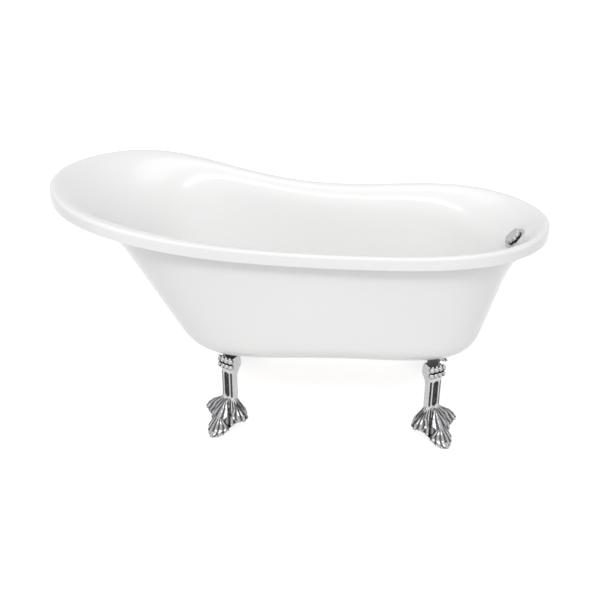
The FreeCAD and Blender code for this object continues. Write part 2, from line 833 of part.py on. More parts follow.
flange = fuse(disc("flange_radius", FLANGE_SEAT, FLANGE_TOP, **DRAIN),
              disc("flange_tube_radius", TUBE_END, FLANGE_TOP, **DRAIN))
flange = cut(flange, disc("drain_bore", TUBE_END + " - 1", FLANGE_TOP + " + 1", **DRAIN),
             disc("flange_recess_radius", RECESS, FLANGE_TOP + " + 1", **DRAIN))
spider = fuse(flange,
              block("2 * drain_bore + 1", "spider_bar", "spider_height", "drain_x", "0", TUBE_END),
              block("spider_bar", "2 * drain_bore + 1", "spider_height", "drain_x", "0", TUBE_END),
              disc("spider_hub", TUBE_END, TUBE_END + " + spider_height * 2", **DRAIN))
keep("drain_flange", cut(spider, disc("stem_radius + stem_clearance", TUBE_END + " - 1",
                                      TUBE_END + " + spider_height * 3", **DRAIN)))


def washer(inner, outer, bottom, top):
    ring = disc(outer, bottom, top, **DRAIN)
    return cut(ring, disc(inner, bottom + " - 1", top + " + 1", **DRAIN))


keep("drain_seal", washer("flange_tube_radius + 0.5", "flange_radius - 2", "floor_height",
                          FLANGE_SEAT))
keep("shoe_seal", washer("drain_hole_radius", "drain_hole_radius + 8", WASTE_TOP,
                         WASTE_TOP + " + seal_thickness"))

waste = fuse(disc("waste_radius", WASTE_BOTTOM, WASTE_TOP, **DRAIN),
             disc("drain_hole_radius + 9", WASTE_TOP + " - 4", WASTE_TOP, **DRAIN))
inlet_height = WASTE_TOP + " - inlet_drop"


def level_disc(radius, start, length, height):
    """Cylinder along X from a start measured from the drain's axis."""
    item = doc.addObject("Part::Cylinder", "LevelDisc")
    item.Placement = Placement(Vector(), Rotation(Vector(0, 1, 0), 90))
    return bind(item, Radius=radius, Height=length, x="drain_x + " + start, z=height)


cable_height = WASTE_TOP + " - inlet_drop"
ear = block("cable_ear", "2 * (cable_y - waste_radius + cable_ear)", "cable_ear", "drain_x + 10",
            "waste_radius", cable_height + " - cable_ear / 2")
waste = fuse(waste, level_disc("inlet_radius", "0", "waste_radius + inlet_length", inlet_height), ear)
lever_pivot_height = TUBE_END + " - lever_gap - lever_thickness / 2 - lever_drop"
waste = cut(waste,
            disc("flange_tube_radius + thread_clearance", TUBE_END, WASTE_TOP + " + 1", **DRAIN),
            disc("drain_bore", WASTE_BOTTOM + " - 1", WASTE_TOP + " + 1", **DRAIN),
            disc("tail_spigot_radius + thread_clearance", WASTE_BOTTOM + " - 1",
                 WASTE_BOTTOM + " + tail_insert", **DRAIN),
            level_disc("overflow_pipe_radius - overflow_pipe_wall", "0",
                       "waste_radius + inlet_length + 1", inlet_height),
            level_disc("overflow_pipe_radius + thread_clearance", "waste_radius + 2",
                       "inlet_length", inlet_height))


def cross_disc(radius, length, x, height):
    """Cylinder along Y, centred on the bath's middle plane."""
    item = doc.addObject("Part::Cylinder", "CrossDisc")
    item.Placement = Placement(Vector(), Rotation(Vector(1, 0, 0), -90))
    return bind(item, Radius=radius, Height=length, x=x, y="-(%s) / 2" % length, z=height)


pivot_x = "drain_x + lever_length - 3"
pin_length = "2 * waste_radius - 18"
waste = cut(waste, cross_disc("lever_pin_radius", pin_length, pivot_x, lever_pivot_height))
keep("waste_body", waste)
keep("lever_pin", cross_disc("lever_pin_radius", pin_length, pivot_x, lever_pivot_height))
lever = block("lever_length + 2", "lever_width", "lever_thickness", "drain_x + lever_length / 2 - 4",
              "0", lever_pivot_height + " - lever_thickness / 2")
lever = fuse(lever, cross_disc("lever_pin_radius + 1.5", "lever_width", pivot_x, lever_pivot_height))
keep("lift_lever", cut(lever, cross_disc("lever_pin_radius + stem_clearance", "lever_width + 2",
                                         pivot_x, lever_pivot_height)))

tail_top = WASTE_BOTTOM + " + tail_insert"
tail_shoulder = WASTE_BOTTOM + " - tail_nut_height - 1"
tail = fuse(disc("tail_radius", "tail_end_height", tail_shoulder, **DRAIN),
            disc("tail_spigot_radius", "tail_end_height", tail_top, **DRAIN))
keep("tail_pipe", cut(tail, disc("tail_radius - tail_wall", "tail_end_height - 1", tail_top + " + 1",
                                 **DRAIN)))
tail_nut = disc("tail_radius + pipe_nut_wall", WASTE_BOTTOM + " - tail_nut_height", WASTE_BOTTOM,
                **DRAIN)
keep("tail_nut", cut(tail_nut, disc("tail_spigot_radius + thread_clearance",
                                    WASTE_BOTTOM + " - tail_nut_height - 1", WASTE_BOTTOM + " + 1",
                                    **DRAIN)))

# pop-up stopper, drawn closed
seal_bottom = RECESS + " + stopper_gap"
cap_bottom = seal_bottom + " + seal_thickness"
cap = disc("stopper_radius", cap_bottom, cap_bottom + " + stopper_height", **DRAIN)
crown = doc.addObject("Part::Cone", "Crown")
bind(crown, Radius1="stopper_radius", Radius2="stopper_radius - 8", Height="2",
     x="drain_x", z=cap_bottom + " + stopper_height")
keep("stopper_cap", fuse(cap, crown))
stem_bottom = lever_pivot_height + " + lever_thickness / 2 + lever_gap"
keep("stopper_stem", disc("stem_radius", stem_bottom, cap_bottom, **DRAIN))
keep("stopper_seal", washer("stem_radius", "stopper_radius - 3", seal_bottom, cap_bottom))

# --------------------------------------------------------------------------------------------------
# Overflow on the foot-end wall, drawn on its own axis and turned to the wall
# --------------------------------------------------------------------------------------------------

PLATE_TOP = "overflow_pad_rise + plate_thickness"
KNOB_BOTTOM = PLATE_TOP + " + knob_gap"
KNOB_TOP = KNOB_BOTTOM + " + knob_height"

def ring_of_discs(count, radius, distance, bottom, top, first=0.0):
    """Equal cylinders round the overflow's axis."""
    discs = []
    for k in range(count):
        turn = 2 * math.pi * (k + first) / count
        discs.append(disc(radius, bottom, top, "(%s) * %.6f" % (distance, math.cos(turn)),
                          "(%s) * %.6f" % (distance, math.sin(turn))))
    return discs


plate = disc("plate_radius", "overflow_pad_rise", PLATE_TOP)
slots = ring_of_discs(PLATE_SLOTS, "plate_slot_radius", "plate_slot_ring", "overflow_pad_rise - 1",
                      PLATE_TOP + " + 1")
bore = disc("spindle_radius + stem_clearance", "overflow_pad_rise - 1", PLATE_TOP + " + 1")
keep("overflow_plate", cut(plate, bore, *slots), overflow_frame)

knob = disc("knob_radius", KNOB_BOTTOM, KNOB_TOP)
scallops = ring_of_discs(SCALLOPS, "knob_scallop_radius", "knob_radius + knob_scallop_radius * 0.6",
                         KNOB_BOTTOM + " - 1", KNOB_TOP + " + 1", 0.5)
seat = disc("spindle_radius", KNOB_BOTTOM + " - 1", KNOB_BOTTOM + " + spindle_seat")
keep("overflow_knob", cut(knob, seat, *scallops), overflow_frame)

spindle_bottom = "-(basin_wall + seal_thickness + channel_thickness * 0.7)"
spindle = disc("spindle_radius", spindle_bottom, KNOB_BOTTOM + " + spindle_seat")
keep("knob_spindle", group(spindle), overflow_frame)

seal_back = -size.basin_wall - size.seal_thickness
overflow_ring = overflow_disc(size.overflow_hole_radius + 7, seal_back, -size.basin_wall)
shaped("overflow_seal", overflow_ring.cut(overflow_disc(size.overflow_hole_radius, seal_back - 1, 1)))


def gap_middle(height):
    """Point half-way between the two sheets on the middle line of the foot end."""
    inner = basin_back.foot_point(height)
    outer = shell_back.foot_point(height)
    return (inner + outer) * 0.5


def channel_line():
    """Middle line of the flat channel, from above the overflow down to its outlet."""
    behind = seal_back - size.channel_thickness / 2
    centre = overflow_point + overflow_axis * behind
    line = [centre + along_wall * size.channel_rise, centre - along_wall * size.channel_drop]
    span = line[-1].z - size.channel_end_height
    for share in (0.5, 1.0):
        line.append(gap_middle(line[1].z - span * share))
    return line


def channel_strip(thickness):
    """Side view of the channel as a closed face of even thickness."""
    line = channel_line()
    left = []
    right = []
    for k, point in enumerate(line):
        before = line[max(k - 1, 0)]
        after = line[min(k + 1, len(line) - 1)]
        run = (after - before).normalize()
        side = Vector(-run.z, 0, run.x) * (thickness / 2)
        left.append(point + side)
        right.append(point - side)
    outline = left + right[::-1]
    return Part.Face(Part.makePolygon(outline + outline[:1]))


line = channel_line()
channel_way = (line[-1] - line[-2]).normalize()
channel_end = line[-1]
outer_block = channel_strip(size.channel_thickness).extrude(Vector(0, size.channel_width, 0))
outer_block.translate(Vector(0, -size.channel_width / 2, 0))
inner_width = size.channel_width - 2 * size.channel_wall
inner_block = channel_strip(size.channel_thickness - 2 * size.channel_wall)
inner_block = inner_block.extrude(Vector(0, inner_width, 0))
inner_block.translate(Vector(0, -inner_width / 2, 0))
mouth = overflow_disc(size.channel_mouth_radius, seal_back - 1, 0)
spigot = Part.makeCylinder(size.overflow_pipe_radius, 16, channel_end - channel_way * 8, channel_way)
pipe_bore = size.overflow_pipe_radius - size.overflow_pipe_wall
spigot_bore = Part.makeCylinder(pipe_bore, 60, channel_end - channel_way * 8, channel_way)
cable_start = gap_middle(size.cable_top_height)
cable_way = (gap_middle(size.cable_top_height - 60) - cable_start).normalize()
cable_ear = Part.makeBox(size.channel_thickness * 0.9, size.cable_y - size.channel_width / 2 + 5, 12)
cable_ear.translate(cable_start + Vector(-size.channel_thickness * 0.45, size.channel_width / 2 - 0.5, 0))
channel = outer_block.fuse([mouth, spigot, cable_ear])
channel = channel.cut(overflow_disc(size.channel_mouth_radius - 2, seal_back - 2, 1))
channel = channel.cut(inner_block).cut(spigot_bore)
shaped("overflow_channel", channel)

pipe_end_height = size.floor_height - size.basin_wall - size.seal_thickness - size.inlet_drop
pipe_end = Vector(size.drain_x + size.waste_radius + 3, 0, pipe_end_height)
bend_drop = channel_end.z - size.floor_height - 45
low_bend = channel_end + channel_way * (bend_drop / -channel_way.z)
route = [channel_end + channel_way * 8, low_bend,
         Vector(size.floor_foot_reach - 12, 0, pipe_end_height), pipe_end]
pipe_path = rounded_path(route, 0.42)
shaped("overflow_pipe", tube(pipe_path, size.overflow_pipe_radius, pipe_bore))


def pipe_nut(base, way, height):
    """Slip nut round the end of the overflow pipe."""
    radius = size.overflow_pipe_radius + 3.2
    ring = Part.makeCylinder(radius, height, base, way)
    bore = Part.makeCylinder(size.overflow_pipe_radius + size.thread_clearance, height + 2,
                             base - way, way)
    return ring.cut(bore)


shaped("upper_pipe_nut", pipe_nut(channel_end + channel_way * 2.5, channel_way, size.upper_nut_height))
inlet_end = size.drain_x + size.waste_radius + size.inlet_length
shaped("lower_pipe_nut", pipe_nut(Vector(inlet_end + 0.2, 0, pipe_end_height), Vector(1, 0, 0),
                                  size.lower_nut_height))

cable_drop = Vector(0, size.cable_y, 0)
cable_route = [cable_start + cable_way * 2 + cable_drop,
               gap_middle(size.floor_height + 60) + cable_drop,
               Vector(size.floor_foot_reach - 25, size.cable_y, pipe_end_height),
               Vector(size.drain_x + 16, size.cable_y, pipe_end_height)]
shaped("control_cable", tube(rounded_path(cable_route, 0.42), size.cable_radius))

# --------------------------------------------------------------------------------------------------
# Check and write
# --------------------------------------------------------------------------------------------------

doc.recompute()
for item in doc.Objects:
    if "Invalid" in item.State or "Error" in item.State:
        raise RuntimeError("%s (%s) failed: %s" % (item.Name, item.Label, item.State))
for label, item in parts.items():
    shape = item.Shape
    if shape.isNull() or not shape.isValid() or not shape.Solids:
        raise RuntimeError("%s has no sound shape" % label)
for label, item in parts.items():
    item.Shape.exportStep("parts/%s.step" % label)
    print("%-24s solids %d volume %.0f" % (label, len(item.Shape.Solids), item.Shape.Volume))
print("sub-parts", len(parts))
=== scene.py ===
"""A slipper bathtub on four cast claw legs: its looks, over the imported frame.

The high head end is at -X, the foot end with the overflow at +X, and the front side at -Y.
"""

import json
import math

import bmesh
import bpy
from mathutils import Matrix, Vector


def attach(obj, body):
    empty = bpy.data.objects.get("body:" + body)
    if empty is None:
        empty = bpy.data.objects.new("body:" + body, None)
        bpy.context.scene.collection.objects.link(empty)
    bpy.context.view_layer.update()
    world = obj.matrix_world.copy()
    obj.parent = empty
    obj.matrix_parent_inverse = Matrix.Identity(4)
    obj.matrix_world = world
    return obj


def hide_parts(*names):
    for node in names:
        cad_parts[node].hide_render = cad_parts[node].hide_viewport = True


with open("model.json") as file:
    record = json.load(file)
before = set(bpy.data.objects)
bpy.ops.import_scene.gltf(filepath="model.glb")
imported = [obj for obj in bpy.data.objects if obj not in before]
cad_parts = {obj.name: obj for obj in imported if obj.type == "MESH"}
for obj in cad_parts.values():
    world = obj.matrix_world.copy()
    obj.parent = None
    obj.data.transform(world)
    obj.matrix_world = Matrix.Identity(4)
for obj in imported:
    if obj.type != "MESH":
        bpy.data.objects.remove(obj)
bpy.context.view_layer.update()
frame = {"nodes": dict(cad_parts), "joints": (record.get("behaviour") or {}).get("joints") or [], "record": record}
MM = 0.001


# ---------------------------------------------------------------- modelling by hand


def deselect_all():
    bpy.ops.object.select_all(action="DESELECT")


def take(*objects):
    """Selects these objects alone and makes the last one active."""
    deselect_all()
    for obj in objects:
        obj.select_set(True)
    bpy.context.view_layer.objects.active = objects[-1]


def join(name, objects):
    take(*objects)
    if len(objects) > 1:
        bpy.ops.object.join()
    obj = bpy.context.view_layer.objects.active
    obj.name = name
    return obj


def apply_place(obj):
    take(obj)
    bpy.ops.object.transform_apply(location=True, rotation=True, scale=True)


def apply_modifier(obj, kind, **values):
    take(obj)
    modifier = obj.modifiers.new(kind.title(), kind)
    for key, value in values.items():
        setattr(modifier, key, value)
    bpy.ops.object.modifier_apply(modifier=modifier.name)


def smooth(obj, degrees=40):
    take(obj)
    bpy.ops.object.shade_smooth_by_angle(angle=math.radians(degrees))


def ring_stack(name, rings, count, closed=False):
    """Draws out a circle ring by ring. Each ring is a function of the place round it, 0 to 1."""
    deselect_all()
    bpy.ops.mesh.primitive_circle_add(vertices=count, radius=1.0)
    obj = bpy.context.active_object
    obj.name = name
    bpy.ops.object.mode_set(mode="EDIT")
    bm = bmesh.from_edit_mesh(obj.data)
    place = bm.verts.layers.int.new("place")
    for k, vert in enumerate(sorted(bm.verts, key=lambda v: math.atan2(v.co.y, v.co.x))):
        vert[place] = k
    for number, ring in enumerate(rings):
        if number:
            bpy.ops.mesh.extrude_region_move()
        bm = bmesh.from_edit_mesh(obj.data)
        place = bm.verts.layers.int["place"]
        for vert in bm.verts:
            if vert.select:
                vert.co = Vector(ring(vert[place] / count)) * MM
        bmesh.update_edit_mesh(obj.data)
    bpy.ops.mesh.select_all(action="SELECT")
    if closed:
        bpy.ops.mesh.fill_holes(sides=0)
        bpy.ops.mesh.select_all(action="SELECT")
    bpy.ops.mesh.normals_make_consistent(inside=False)
    bpy.ops.mesh.select_all(action="DESELECT")
    bpy.ops.object.mode_set(mode="OBJECT")
    obj.data.attributes.remove(obj.data.attributes["place"])
    return obj


def circle_ring(radius, height, centre=(0.0, 0.0)):
    """A level ring, for turned pieces."""
    def ring(share):
        angle = 2 * math.pi * share
        return (centre[0] + radius * math.cos(angle), centre[1] + radius * math.sin(angle), height)
    return ring


def turned(name, profile, count=64, centre=(0.0, 0.0), closed=True):
    """A turned piece from (radius, height) pairs, from the bottom up."""
    rings = [circle_ring(radius, height, centre) for radius, height in profile]
    return ring_stack(name, rings, count, closed)


def move_mesh(obj, matrix):
    """Moves the mesh itself, so that the object stays at the origin."""
    obj.data.transform(matrix)
    if matrix.determinant() < 0:
        obj.data.flip_normals()


def face_towards(obj, point, way):
    """Turns a sheet over if its face nearest this point looks the other way."""
    nearest = min(obj.data.polygons, key=lambda p: (p.center - Vector(point) * MM).length)
    if nearest.normal.dot(Vector(way)) < 0:
        obj.data.flip_normals()


def painted_light_attribute(obj, value=1.0):
    """Gives a piece its mask of painted light and shade, 0 where shade is painted in the grooves and 1 on the
    ridges.
    """
    layer = obj.data.attributes.new("painted_light", "FLOAT", "POINT")
    layer.data.foreach_set("value", [value] * len(obj.data.vertices))
    return layer


def finish_piece(obj, body, nodes, material, degrees=40):
    """Shades a piece and puts it on its body, in place of its CAD nodes."""
    smooth(obj, degrees)
    obj.data.materials.clear()
    obj.data.materials.append(material)
    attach(obj, body)
    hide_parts(*nodes)


def mix(a, b, share):
    return a + (b - a) * share


def ease(low, high, value):
    """0 below low, 1 above high and smooth between them."""
    share = min(max((value - low) / (high - low), 0.0), 1.0)
    return share * share * (3 - 2 * share)


# ---------------------------------------------------------------- shader groups


def group(name, inputs, outputs):
    tree = bpy.data.node_groups.new(name, "ShaderNodeTree")
    for label, kind, value in inputs:
        socket = tree.interface.new_socket(label, in_out="INPUT", socket_type=kind)
        if value is not None:
            socket.default_value = value
    for label, kind in outputs:
        tree.interface.new_socket(label, in_out="OUTPUT", socket_type=kind)
    return tree, tree.nodes.new("NodeGroupInput"), tree.nodes.new("NodeGroupOutput")


def node(tree, kind, **values):
    made = tree.nodes.new(kind)
    for key, value in values.items():
        setattr(made, key, value)
    return made


def feed(tree, *pairs):
    """Links sockets, or sets an input where a plain value is given."""
    for source, target in pairs:
        if isinstance(source, bpy.types.NodeSocket):
            tree.links.new(source, target)
        else:
            target.default_value = source


def noise(tree, vector, scale, detail=2.0, rough=0.5, distortion=0.0):
    made = node(tree, "ShaderNodeTexNoise")
    feed(tree, (vector, made.inputs["Vector"]), (scale, made.inputs["Scale"]),
         (detail, made.inputs["Detail"]), (rough, made.inputs["Roughness"]),
         (distortion, made.inputs["Distortion"]))
    return made.outputs["Fac"]


def remap(tree, value, low, high, out_low, out_high):
    made = node(tree, "ShaderNodeMapRange")
    feed(tree, (value, made.inputs["Value"]), (low, made.inputs["From Min"]),
         (high, made.inputs["From Max"]), (out_low, made.inputs["To Min"]),
         (out_high, made.inputs["To Max"]))
    return made.outputs["Result"]


def maths(tree, operation, first, second=0.0):
    made = node(tree, "ShaderNodeMath", operation=operation)
    feed(tree, (first, made.inputs[0]), (second, made.inputs[1]))
    return made.outputs[0]


def mix_colour(tree, share, first, second, blend="MIX"):
    made = node(tree, "ShaderNodeMix", data_type="RGBA", blend_type=blend)
    feed(tree, (share, made.inputs["Factor"]), (first, made.inputs["A"]), (second, made.inputs["B"]))
    return made.outputs["Result"]


def make_cloud_group():
    """Slow and fine unevenness of a surface: a tint, a change of roughness and a height."""
    tree, start, end = group("Surface cloud",
                             [("Tint", "NodeSocketColor", (1, 1, 1, 1)),
                              ("Shade", "NodeSocketColor", (0.9, 0.9, 0.9, 1)),
                              ("Amount", "NodeSocketFloat", 0.2), ("Scale", "NodeSocketFloat", 6.0),
                              ("Fine Scale", "NodeSocketFloat", 90.0),
                              ("Smoothest", "NodeSocketFloat", 0.1),
                              ("Roughest", "NodeSocketFloat", 0.2)],
                             [("Color", "NodeSocketColor"), ("Roughness", "NodeSocketFloat"),
                              ("Height", "NodeSocketFloat")])
    place = node(tree, "ShaderNodeTexCoord").outputs["Object"]
    slow = noise(tree, place, start.outputs["Scale"], 3.0, 0.55)
    fine = noise(tree, place, start.outputs["Fine Scale"], 4.0, 0.6)
    cloud = maths(tree, "MULTIPLY", remap(tree, slow, 0.35, 0.68, 0.0, 1.0), start.outputs["Amount"])
    both = maths(tree, "ADD", maths(tree, "MULTIPLY", slow, 0.6), maths(tree, "MULTIPLY", fine, 0.4))
    rough = node(tree, "ShaderNodeMapRange")
    feed(tree, (both, rough.inputs["Value"]), (0.36, rough.inputs["From Min"]),
         (0.64, rough.inputs["From Max"]), (start.outputs["Smoothest"], rough.inputs["To Min"]),
         (start.outputs["Roughest"], rough.inputs["To Max"]))
    feed(tree, (mix_colour(tree, cloud, start.outputs["Tint"], start.outputs["Shade"]),
                end.inputs["Color"]),
         (rough.outputs["Result"], end.inputs["Roughness"]), (both, end.inputs["Height"]))
    return tree


def make_scratch_group():
    """Fine hairline scratches in two directions, as a mask."""
    tree, start, end = group("Hairlines", [("Scale", "NodeSocketFloat", 60.0),
                                           ("Amount", "NodeSocketFloat", 0.5)],
                             [("Mask", "NodeSocketFloat")])
    place = node(tree, "ShaderNodeTexCoord").outputs["Object"]
    masks = []
    for turn, stretch in (((0.3, 0.2, 0.5), (1.0, 0.03, 0.6)), ((0.9, -0.4, 1.8), (0.04, 1.0, 0.5))):
        mapping = node(tree, "ShaderNodeMapping")
        feed(tree, (place, mapping.inputs["Vector"]), (turn, mapping.inputs["Rotation"]),
             (stretch, mapping.inputs["Scale"]))
        lines = noise(tree, mapping.outputs["Vector"], start.outputs["Scale"], 3.0, 0.7)
        masks.append(remap(tree, lines, 0.62, 0.72, 0.0, 1.0))
    both = maths(tree, "MAXIMUM", masks[0], masks[1])
    feed(tree, (maths(tree, "MULTIPLY", both, start.outputs["Amount"]), end.inputs["Mask"]))
    return tree


def make_painted_shade_group():
    """Painted shade: a dark colour in the grooves of a casting, where shade and dark reflections fall, and the
    bright colour on its ridges.
    """
    tree, start, end = group("Painted cast shade", [("Bright", "NodeSocketColor", (0.9, 0.9, 0.9, 1)),
                                             ("Groove", "NodeSocketColor", (0.1, 0.1, 0.1, 1)),
                                             ("Spread", "NodeSocketFloat", 0.45)],
                             [("Color", "NodeSocketColor"), ("Mask", "NodeSocketFloat")])
    painted_light = node(tree, "ShaderNodeAttribute", attribute_name="painted_light").outputs["Fac"]
    place = node(tree, "ShaderNodeTexCoord").outputs["Object"]
    grit = noise(tree, place, 160.0, 3.0, 0.6)
    value = maths(tree, "ADD", painted_light, maths(tree, "MULTIPLY", maths(tree, "SUBTRACT", grit, 0.5), 0.5))
    mask = node(tree, "ShaderNodeMapRange")
    feed(tree, (value, mask.inputs["Value"]), (0.0, mask.inputs["From Min"]),
         (start.outputs["Spread"], mask.inputs["From Max"]), (1.0, mask.inputs["To Min"]),
         (0.0, mask.inputs["To Max"]))
    feed(tree, (mix_colour(tree, mask.outputs["Result"], start.outputs["Bright"],
                           start.outputs["Groove"]), end.inputs["Color"]),
         (mask.outputs["Result"], end.inputs["Mask"]))
    return tree


CLOUD = make_cloud_group()
HAIRLINES = make_scratch_group()
PAINTED_SHADE = make_painted_shade_group()


def use(tree, shared, **values):
    """Places a shared group and sets its inputs by their names."""
    made = node(tree, "ShaderNodeGroup", node_tree=shared)
    for label, value in values.items():
        feed(tree, (value, made.inputs[label.replace("_", " ")]))
    return made


def new_material(name, **plain):
    material = bpy.data.materials.new(name)
    material.use_nodes = True
    tree = material.node_tree
    shader = tree.nodes["Principled BSDF"]
    for label, value in plain.items():
        shader.inputs[label.replace("_", " ")].default_value = value
    return material, tree, shader


def bump(tree, shader, height, strength, distance):
    made = node(tree, "ShaderNodeBump")
    feed(tree, (height, made.inputs["Height"]), (strength, made.inputs["Strength"]),
         (distance, made.inputs["Distance"]))
    feed(tree, (made.outputs["Normal"], shader.inputs["Normal"]))


def acrylic(name, tint, shade):
    """White gloss acrylic with the faint waviness of a vacuum-formed sheet."""
    material, tree, shader = new_material(name, IOR=1.49, Coat_Weight=0.2, Coat_Roughness=0.03,
                                          Coat_IOR=1.5)
    cloud = use(tree, CLOUD, Tint=tint, Shade=shade, Amount=0.35, Scale=3.0, Fine_Scale=420.0,
                Smoothest=0.14, Roughest=0.24)
    lines = use(tree, HAIRLINES, Scale=90.0, Amount=0.05)
    rough = maths(tree, "ADD", cloud.outputs["Roughness"], lines.outputs["Mask"])
    feed(tree, (cloud.outputs["Color"], shader.inputs["Base Color"]), (rough, shader.inputs["Roughness"]))
    bump(tree, shader, cloud.outputs["Height"], 0.06, 0.0008)
    return material


def chrome(name, tint, groove, smoothest, roughest):
    """Polished chrome, rougher in its grooves, with painted shade darkening them."""
    material, tree, shader = new_material(name, Metallic=1.0, IOR=2.5)
    painted_light = use(tree, PAINTED_SHADE, Bright=tint, Groove=groove, Spread=1.2)
    cloud = use(tree, CLOUD, Tint=(1, 1, 1, 1), Shade=(0.88, 0.88, 0.9, 1), Amount=0.5, Scale=35.0,
                Fine_Scale=600.0, Smoothest=smoothest, Roughest=roughest)
    colour = mix_colour(tree, 1.0, painted_light.outputs["Color"], cloud.outputs["Color"], "MULTIPLY")
    lines = use(tree, HAIRLINES, Scale=260.0, Amount=0.04)
    dull = maths(tree, "MULTIPLY", painted_light.outputs["Mask"], 0.22)
    rough = maths(tree, "ADD", maths(tree, "ADD", cloud.outputs["Roughness"], dull),
                  lines.outputs["Mask"])
    feed(tree, (colour, shader.inputs["Base Color"]), (rough, shader.inputs["Roughness"]))
    bump(tree, shader, cloud.outputs["Height"], 0.12, 0.0006)
    return material


def plain_finish(name, tint, shade, amount, scale, fine, smoothest, roughest, height, **plain):
    material, tree, shader = new_material(name, **plain)
    cloud = use(tree, CLOUD, Tint=tint, Shade=shade, Amount=amount, Scale=scale, Fine_Scale=fine,
                Smoothest=smoothest, Roughest=roughest)
    feed(tree, (cloud.outputs["Color"], shader.inputs["Base Color"]),
         (cloud.outputs["Roughness"], shader.inputs["Roughness"]))
    bump(tree, shader, cloud.outputs["Height"], 0.4, height)
    return material


def plywood(name):
    """Sheet of plywood: long grain on its faces and thin plies on its edges."""
    material, tree, shader = new_material(name)
    place = node(tree, "ShaderNodeTexCoord").outputs["Object"]
    mapping = node(tree, "ShaderNodeMapping")
    feed(tree, (place, mapping.inputs["Vector"]), ((1.2, 14.0, 14.0), mapping.inputs["Scale"]))
    grain = noise(tree, mapping.outputs["Vector"], 9.0, 6.0, 0.62, 1.4)
    pores = noise(tree, mapping.outputs["Vector"], 60.0, 3.0, 0.6)
    wood = mix_colour(tree, remap(tree, grain, 0.35, 0.7, 0.0, 1.0), (0.60, 0.43, 0.25, 1),
                      (0.38, 0.24, 0.12, 1))
    dark = mix_colour(tree, remap(tree, pores, 0.62, 0.75, 0.0, 0.5), wood, (0.2, 0.12, 0.06, 1))
    plies = node(tree, "ShaderNodeTexWave", bands_direction="Z")
    feed(tree, (place, plies.inputs["Vector"]), (110.0, plies.inputs["Scale"]),
         (0.4, plies.inputs["Distortion"]))
    layered = mix_colour(tree, maths(tree, "MULTIPLY", plies.outputs["Fac"], 0.3), dark,
                         (0.24, 0.15, 0.08, 1))
    feed(tree, (layered, shader.inputs["Base Color"]),
         (remap(tree, grain, 0.3, 0.7, 0.55, 0.75), shader.inputs["Roughness"]))
    bump(tree, shader, grain, 0.35, 0.0008)
    return material


WHITE_ACRYLIC = acrylic("White acrylic", (0.905, 0.905, 0.9, 1), (0.88, 0.882, 0.88, 1))
# the legs' nearly black groove colour is painted shade
CHROME = chrome("Polished chrome", (0.61, 0.612, 0.618, 1), (0.022, 0.022, 0.025, 1), 0.06, 0.14)
SPACER_PLASTIC = plain_finish("Spacer plastic", (0.05, 0.05, 0.052, 1), (0.09, 0.09, 0.09, 1), 0.6,
                              40.0, 500.0, 0.42, 0.6, 0.0004)
PLYWOOD = plywood("Plywood")
FRAME_STEEL = plain_finish("Powder-coated steel", (0.035, 0.035, 0.038, 1), (0.07, 0.07, 0.07, 1),
                           0.5, 12.0, 900.0, 0.35, 0.5, 0.0003)
ZINC = plain_finish("Zinc-plated steel", (0.66, 0.67, 0.66, 1), (0.5, 0.5, 0.46, 1), 0.8, 60.0,
                    700.0, 0.24, 0.42, 0.0003, Metallic=1.0)
RUBBER = plain_finish("Black rubber", (0.022, 0.022, 0.022, 1), (0.05, 0.05, 0.048, 1), 0.6, 50.0,
                      600.0, 0.6, 0.8, 0.0004)
PIPE_PLASTIC = plain_finish("White pipe plastic", (0.80, 0.80, 0.77, 1), (0.7, 0.7, 0.66, 1), 0.5,
                            20.0, 500.0, 0.3, 0.45, 0.0003)
CABLE_SHEATH = plain_finish("Cable sheath", (0.03, 0.03, 0.03, 1), (0.06, 0.06, 0.06, 1), 0.5, 60.0,
                            800.0, 0.35, 0.5, 0.0003)

FINISHES = {"white_acrylic": WHITE_ACRYLIC, "chrome": CHROME, "spacer_plastic": SPACER_PLASTIC,
            "plywood": PLYWOOD, "frame_steel": FRAME_STEEL, "zinc_steel": ZINC,
            "pad_rubber": RUBBER, "seal_rubber": RUBBER, "pipe_plastic": PIPE_PLASTIC,
            "cable_sheath": CABLE_SHEATH}

for entry in frame["record"]["subparts"]:
    cad_node = frame["nodes"][entry["node"]]
    cad_node.data.materials.clear()
    cad_node.data.materials.append(FINISHES[entry["material_slot"]])


# ---------------------------------------------------------------- the two acrylic sheets

RIM_LENGTH = 1500.0
RIM_WIDTH = 724.0
RIM_HEIGHTS = (768.0, 740.0, 691.0, 658.0, 655.0, 665.0, 667.0)
RIM_HARMONICS = (1.0, 0.064, 0.138, -0.010, -0.034)
LIP_DEPTH = 36.0
LIP_ROUND = 9.0
LIP_FLAT = 20.0
LIP_TURNS = (12, 32, 55, 78)
BASIN_WALL = 4.8
SHELL_WALL = 3.8
FLOOR = 310.0
UNDERSIDE = 265.0
LOW_SQUARENESS = 4.5
LOW_TAPER = 0.07
ROUND_COUNT = 144


def natural_spline(values, spacing, start):
    """A smooth curve through evenly spaced heights."""
    n = len(values)
    bend = [0.0] * n
    diagonal = [4.0] * n
    right = [0.0] * n
    for k in range(1, n - 1):
        right[k] = 6.0 * (values[k + 1] - 2 * values[k] + values[k - 1]) / spacing ** 2
    for k in range(2, n - 1):
        share = 1.0 / diagonal[k - 1]
        diagonal[k] -= share
        right[k] -= share * right[k - 1]
    for k in range(n - 2, 0, -1):
        bend[k] = (right[k] - (bend[k + 1] if k < n - 2 else 0.0)) / diagonal[k]

    def height(x):
        place = min(max((x - start) / spacing, 0.0), n - 1 - 1e-9)
        k = int(place)
        b = place - k
        a = 1.0 - b
        return (a * values[k] + b * values[k + 1]
                + ((a ** 3 - a) * bend[k] + (b ** 3 - b) * bend[k + 1]) * spacing ** 2 / 6)
    return height


rim_height = natural_spline(RIM_HEIGHTS, RIM_LENGTH / (len(RIM_HEIGHTS) - 1), -RIM_LENGTH / 2)


def rim_share(angle):
    return sum(part * math.sin((order + 1) * angle) for order, part in enumerate(RIM_HARMONICS))


WIDEST = max(rim_share(math.pi * step / 400) for step in range(400))


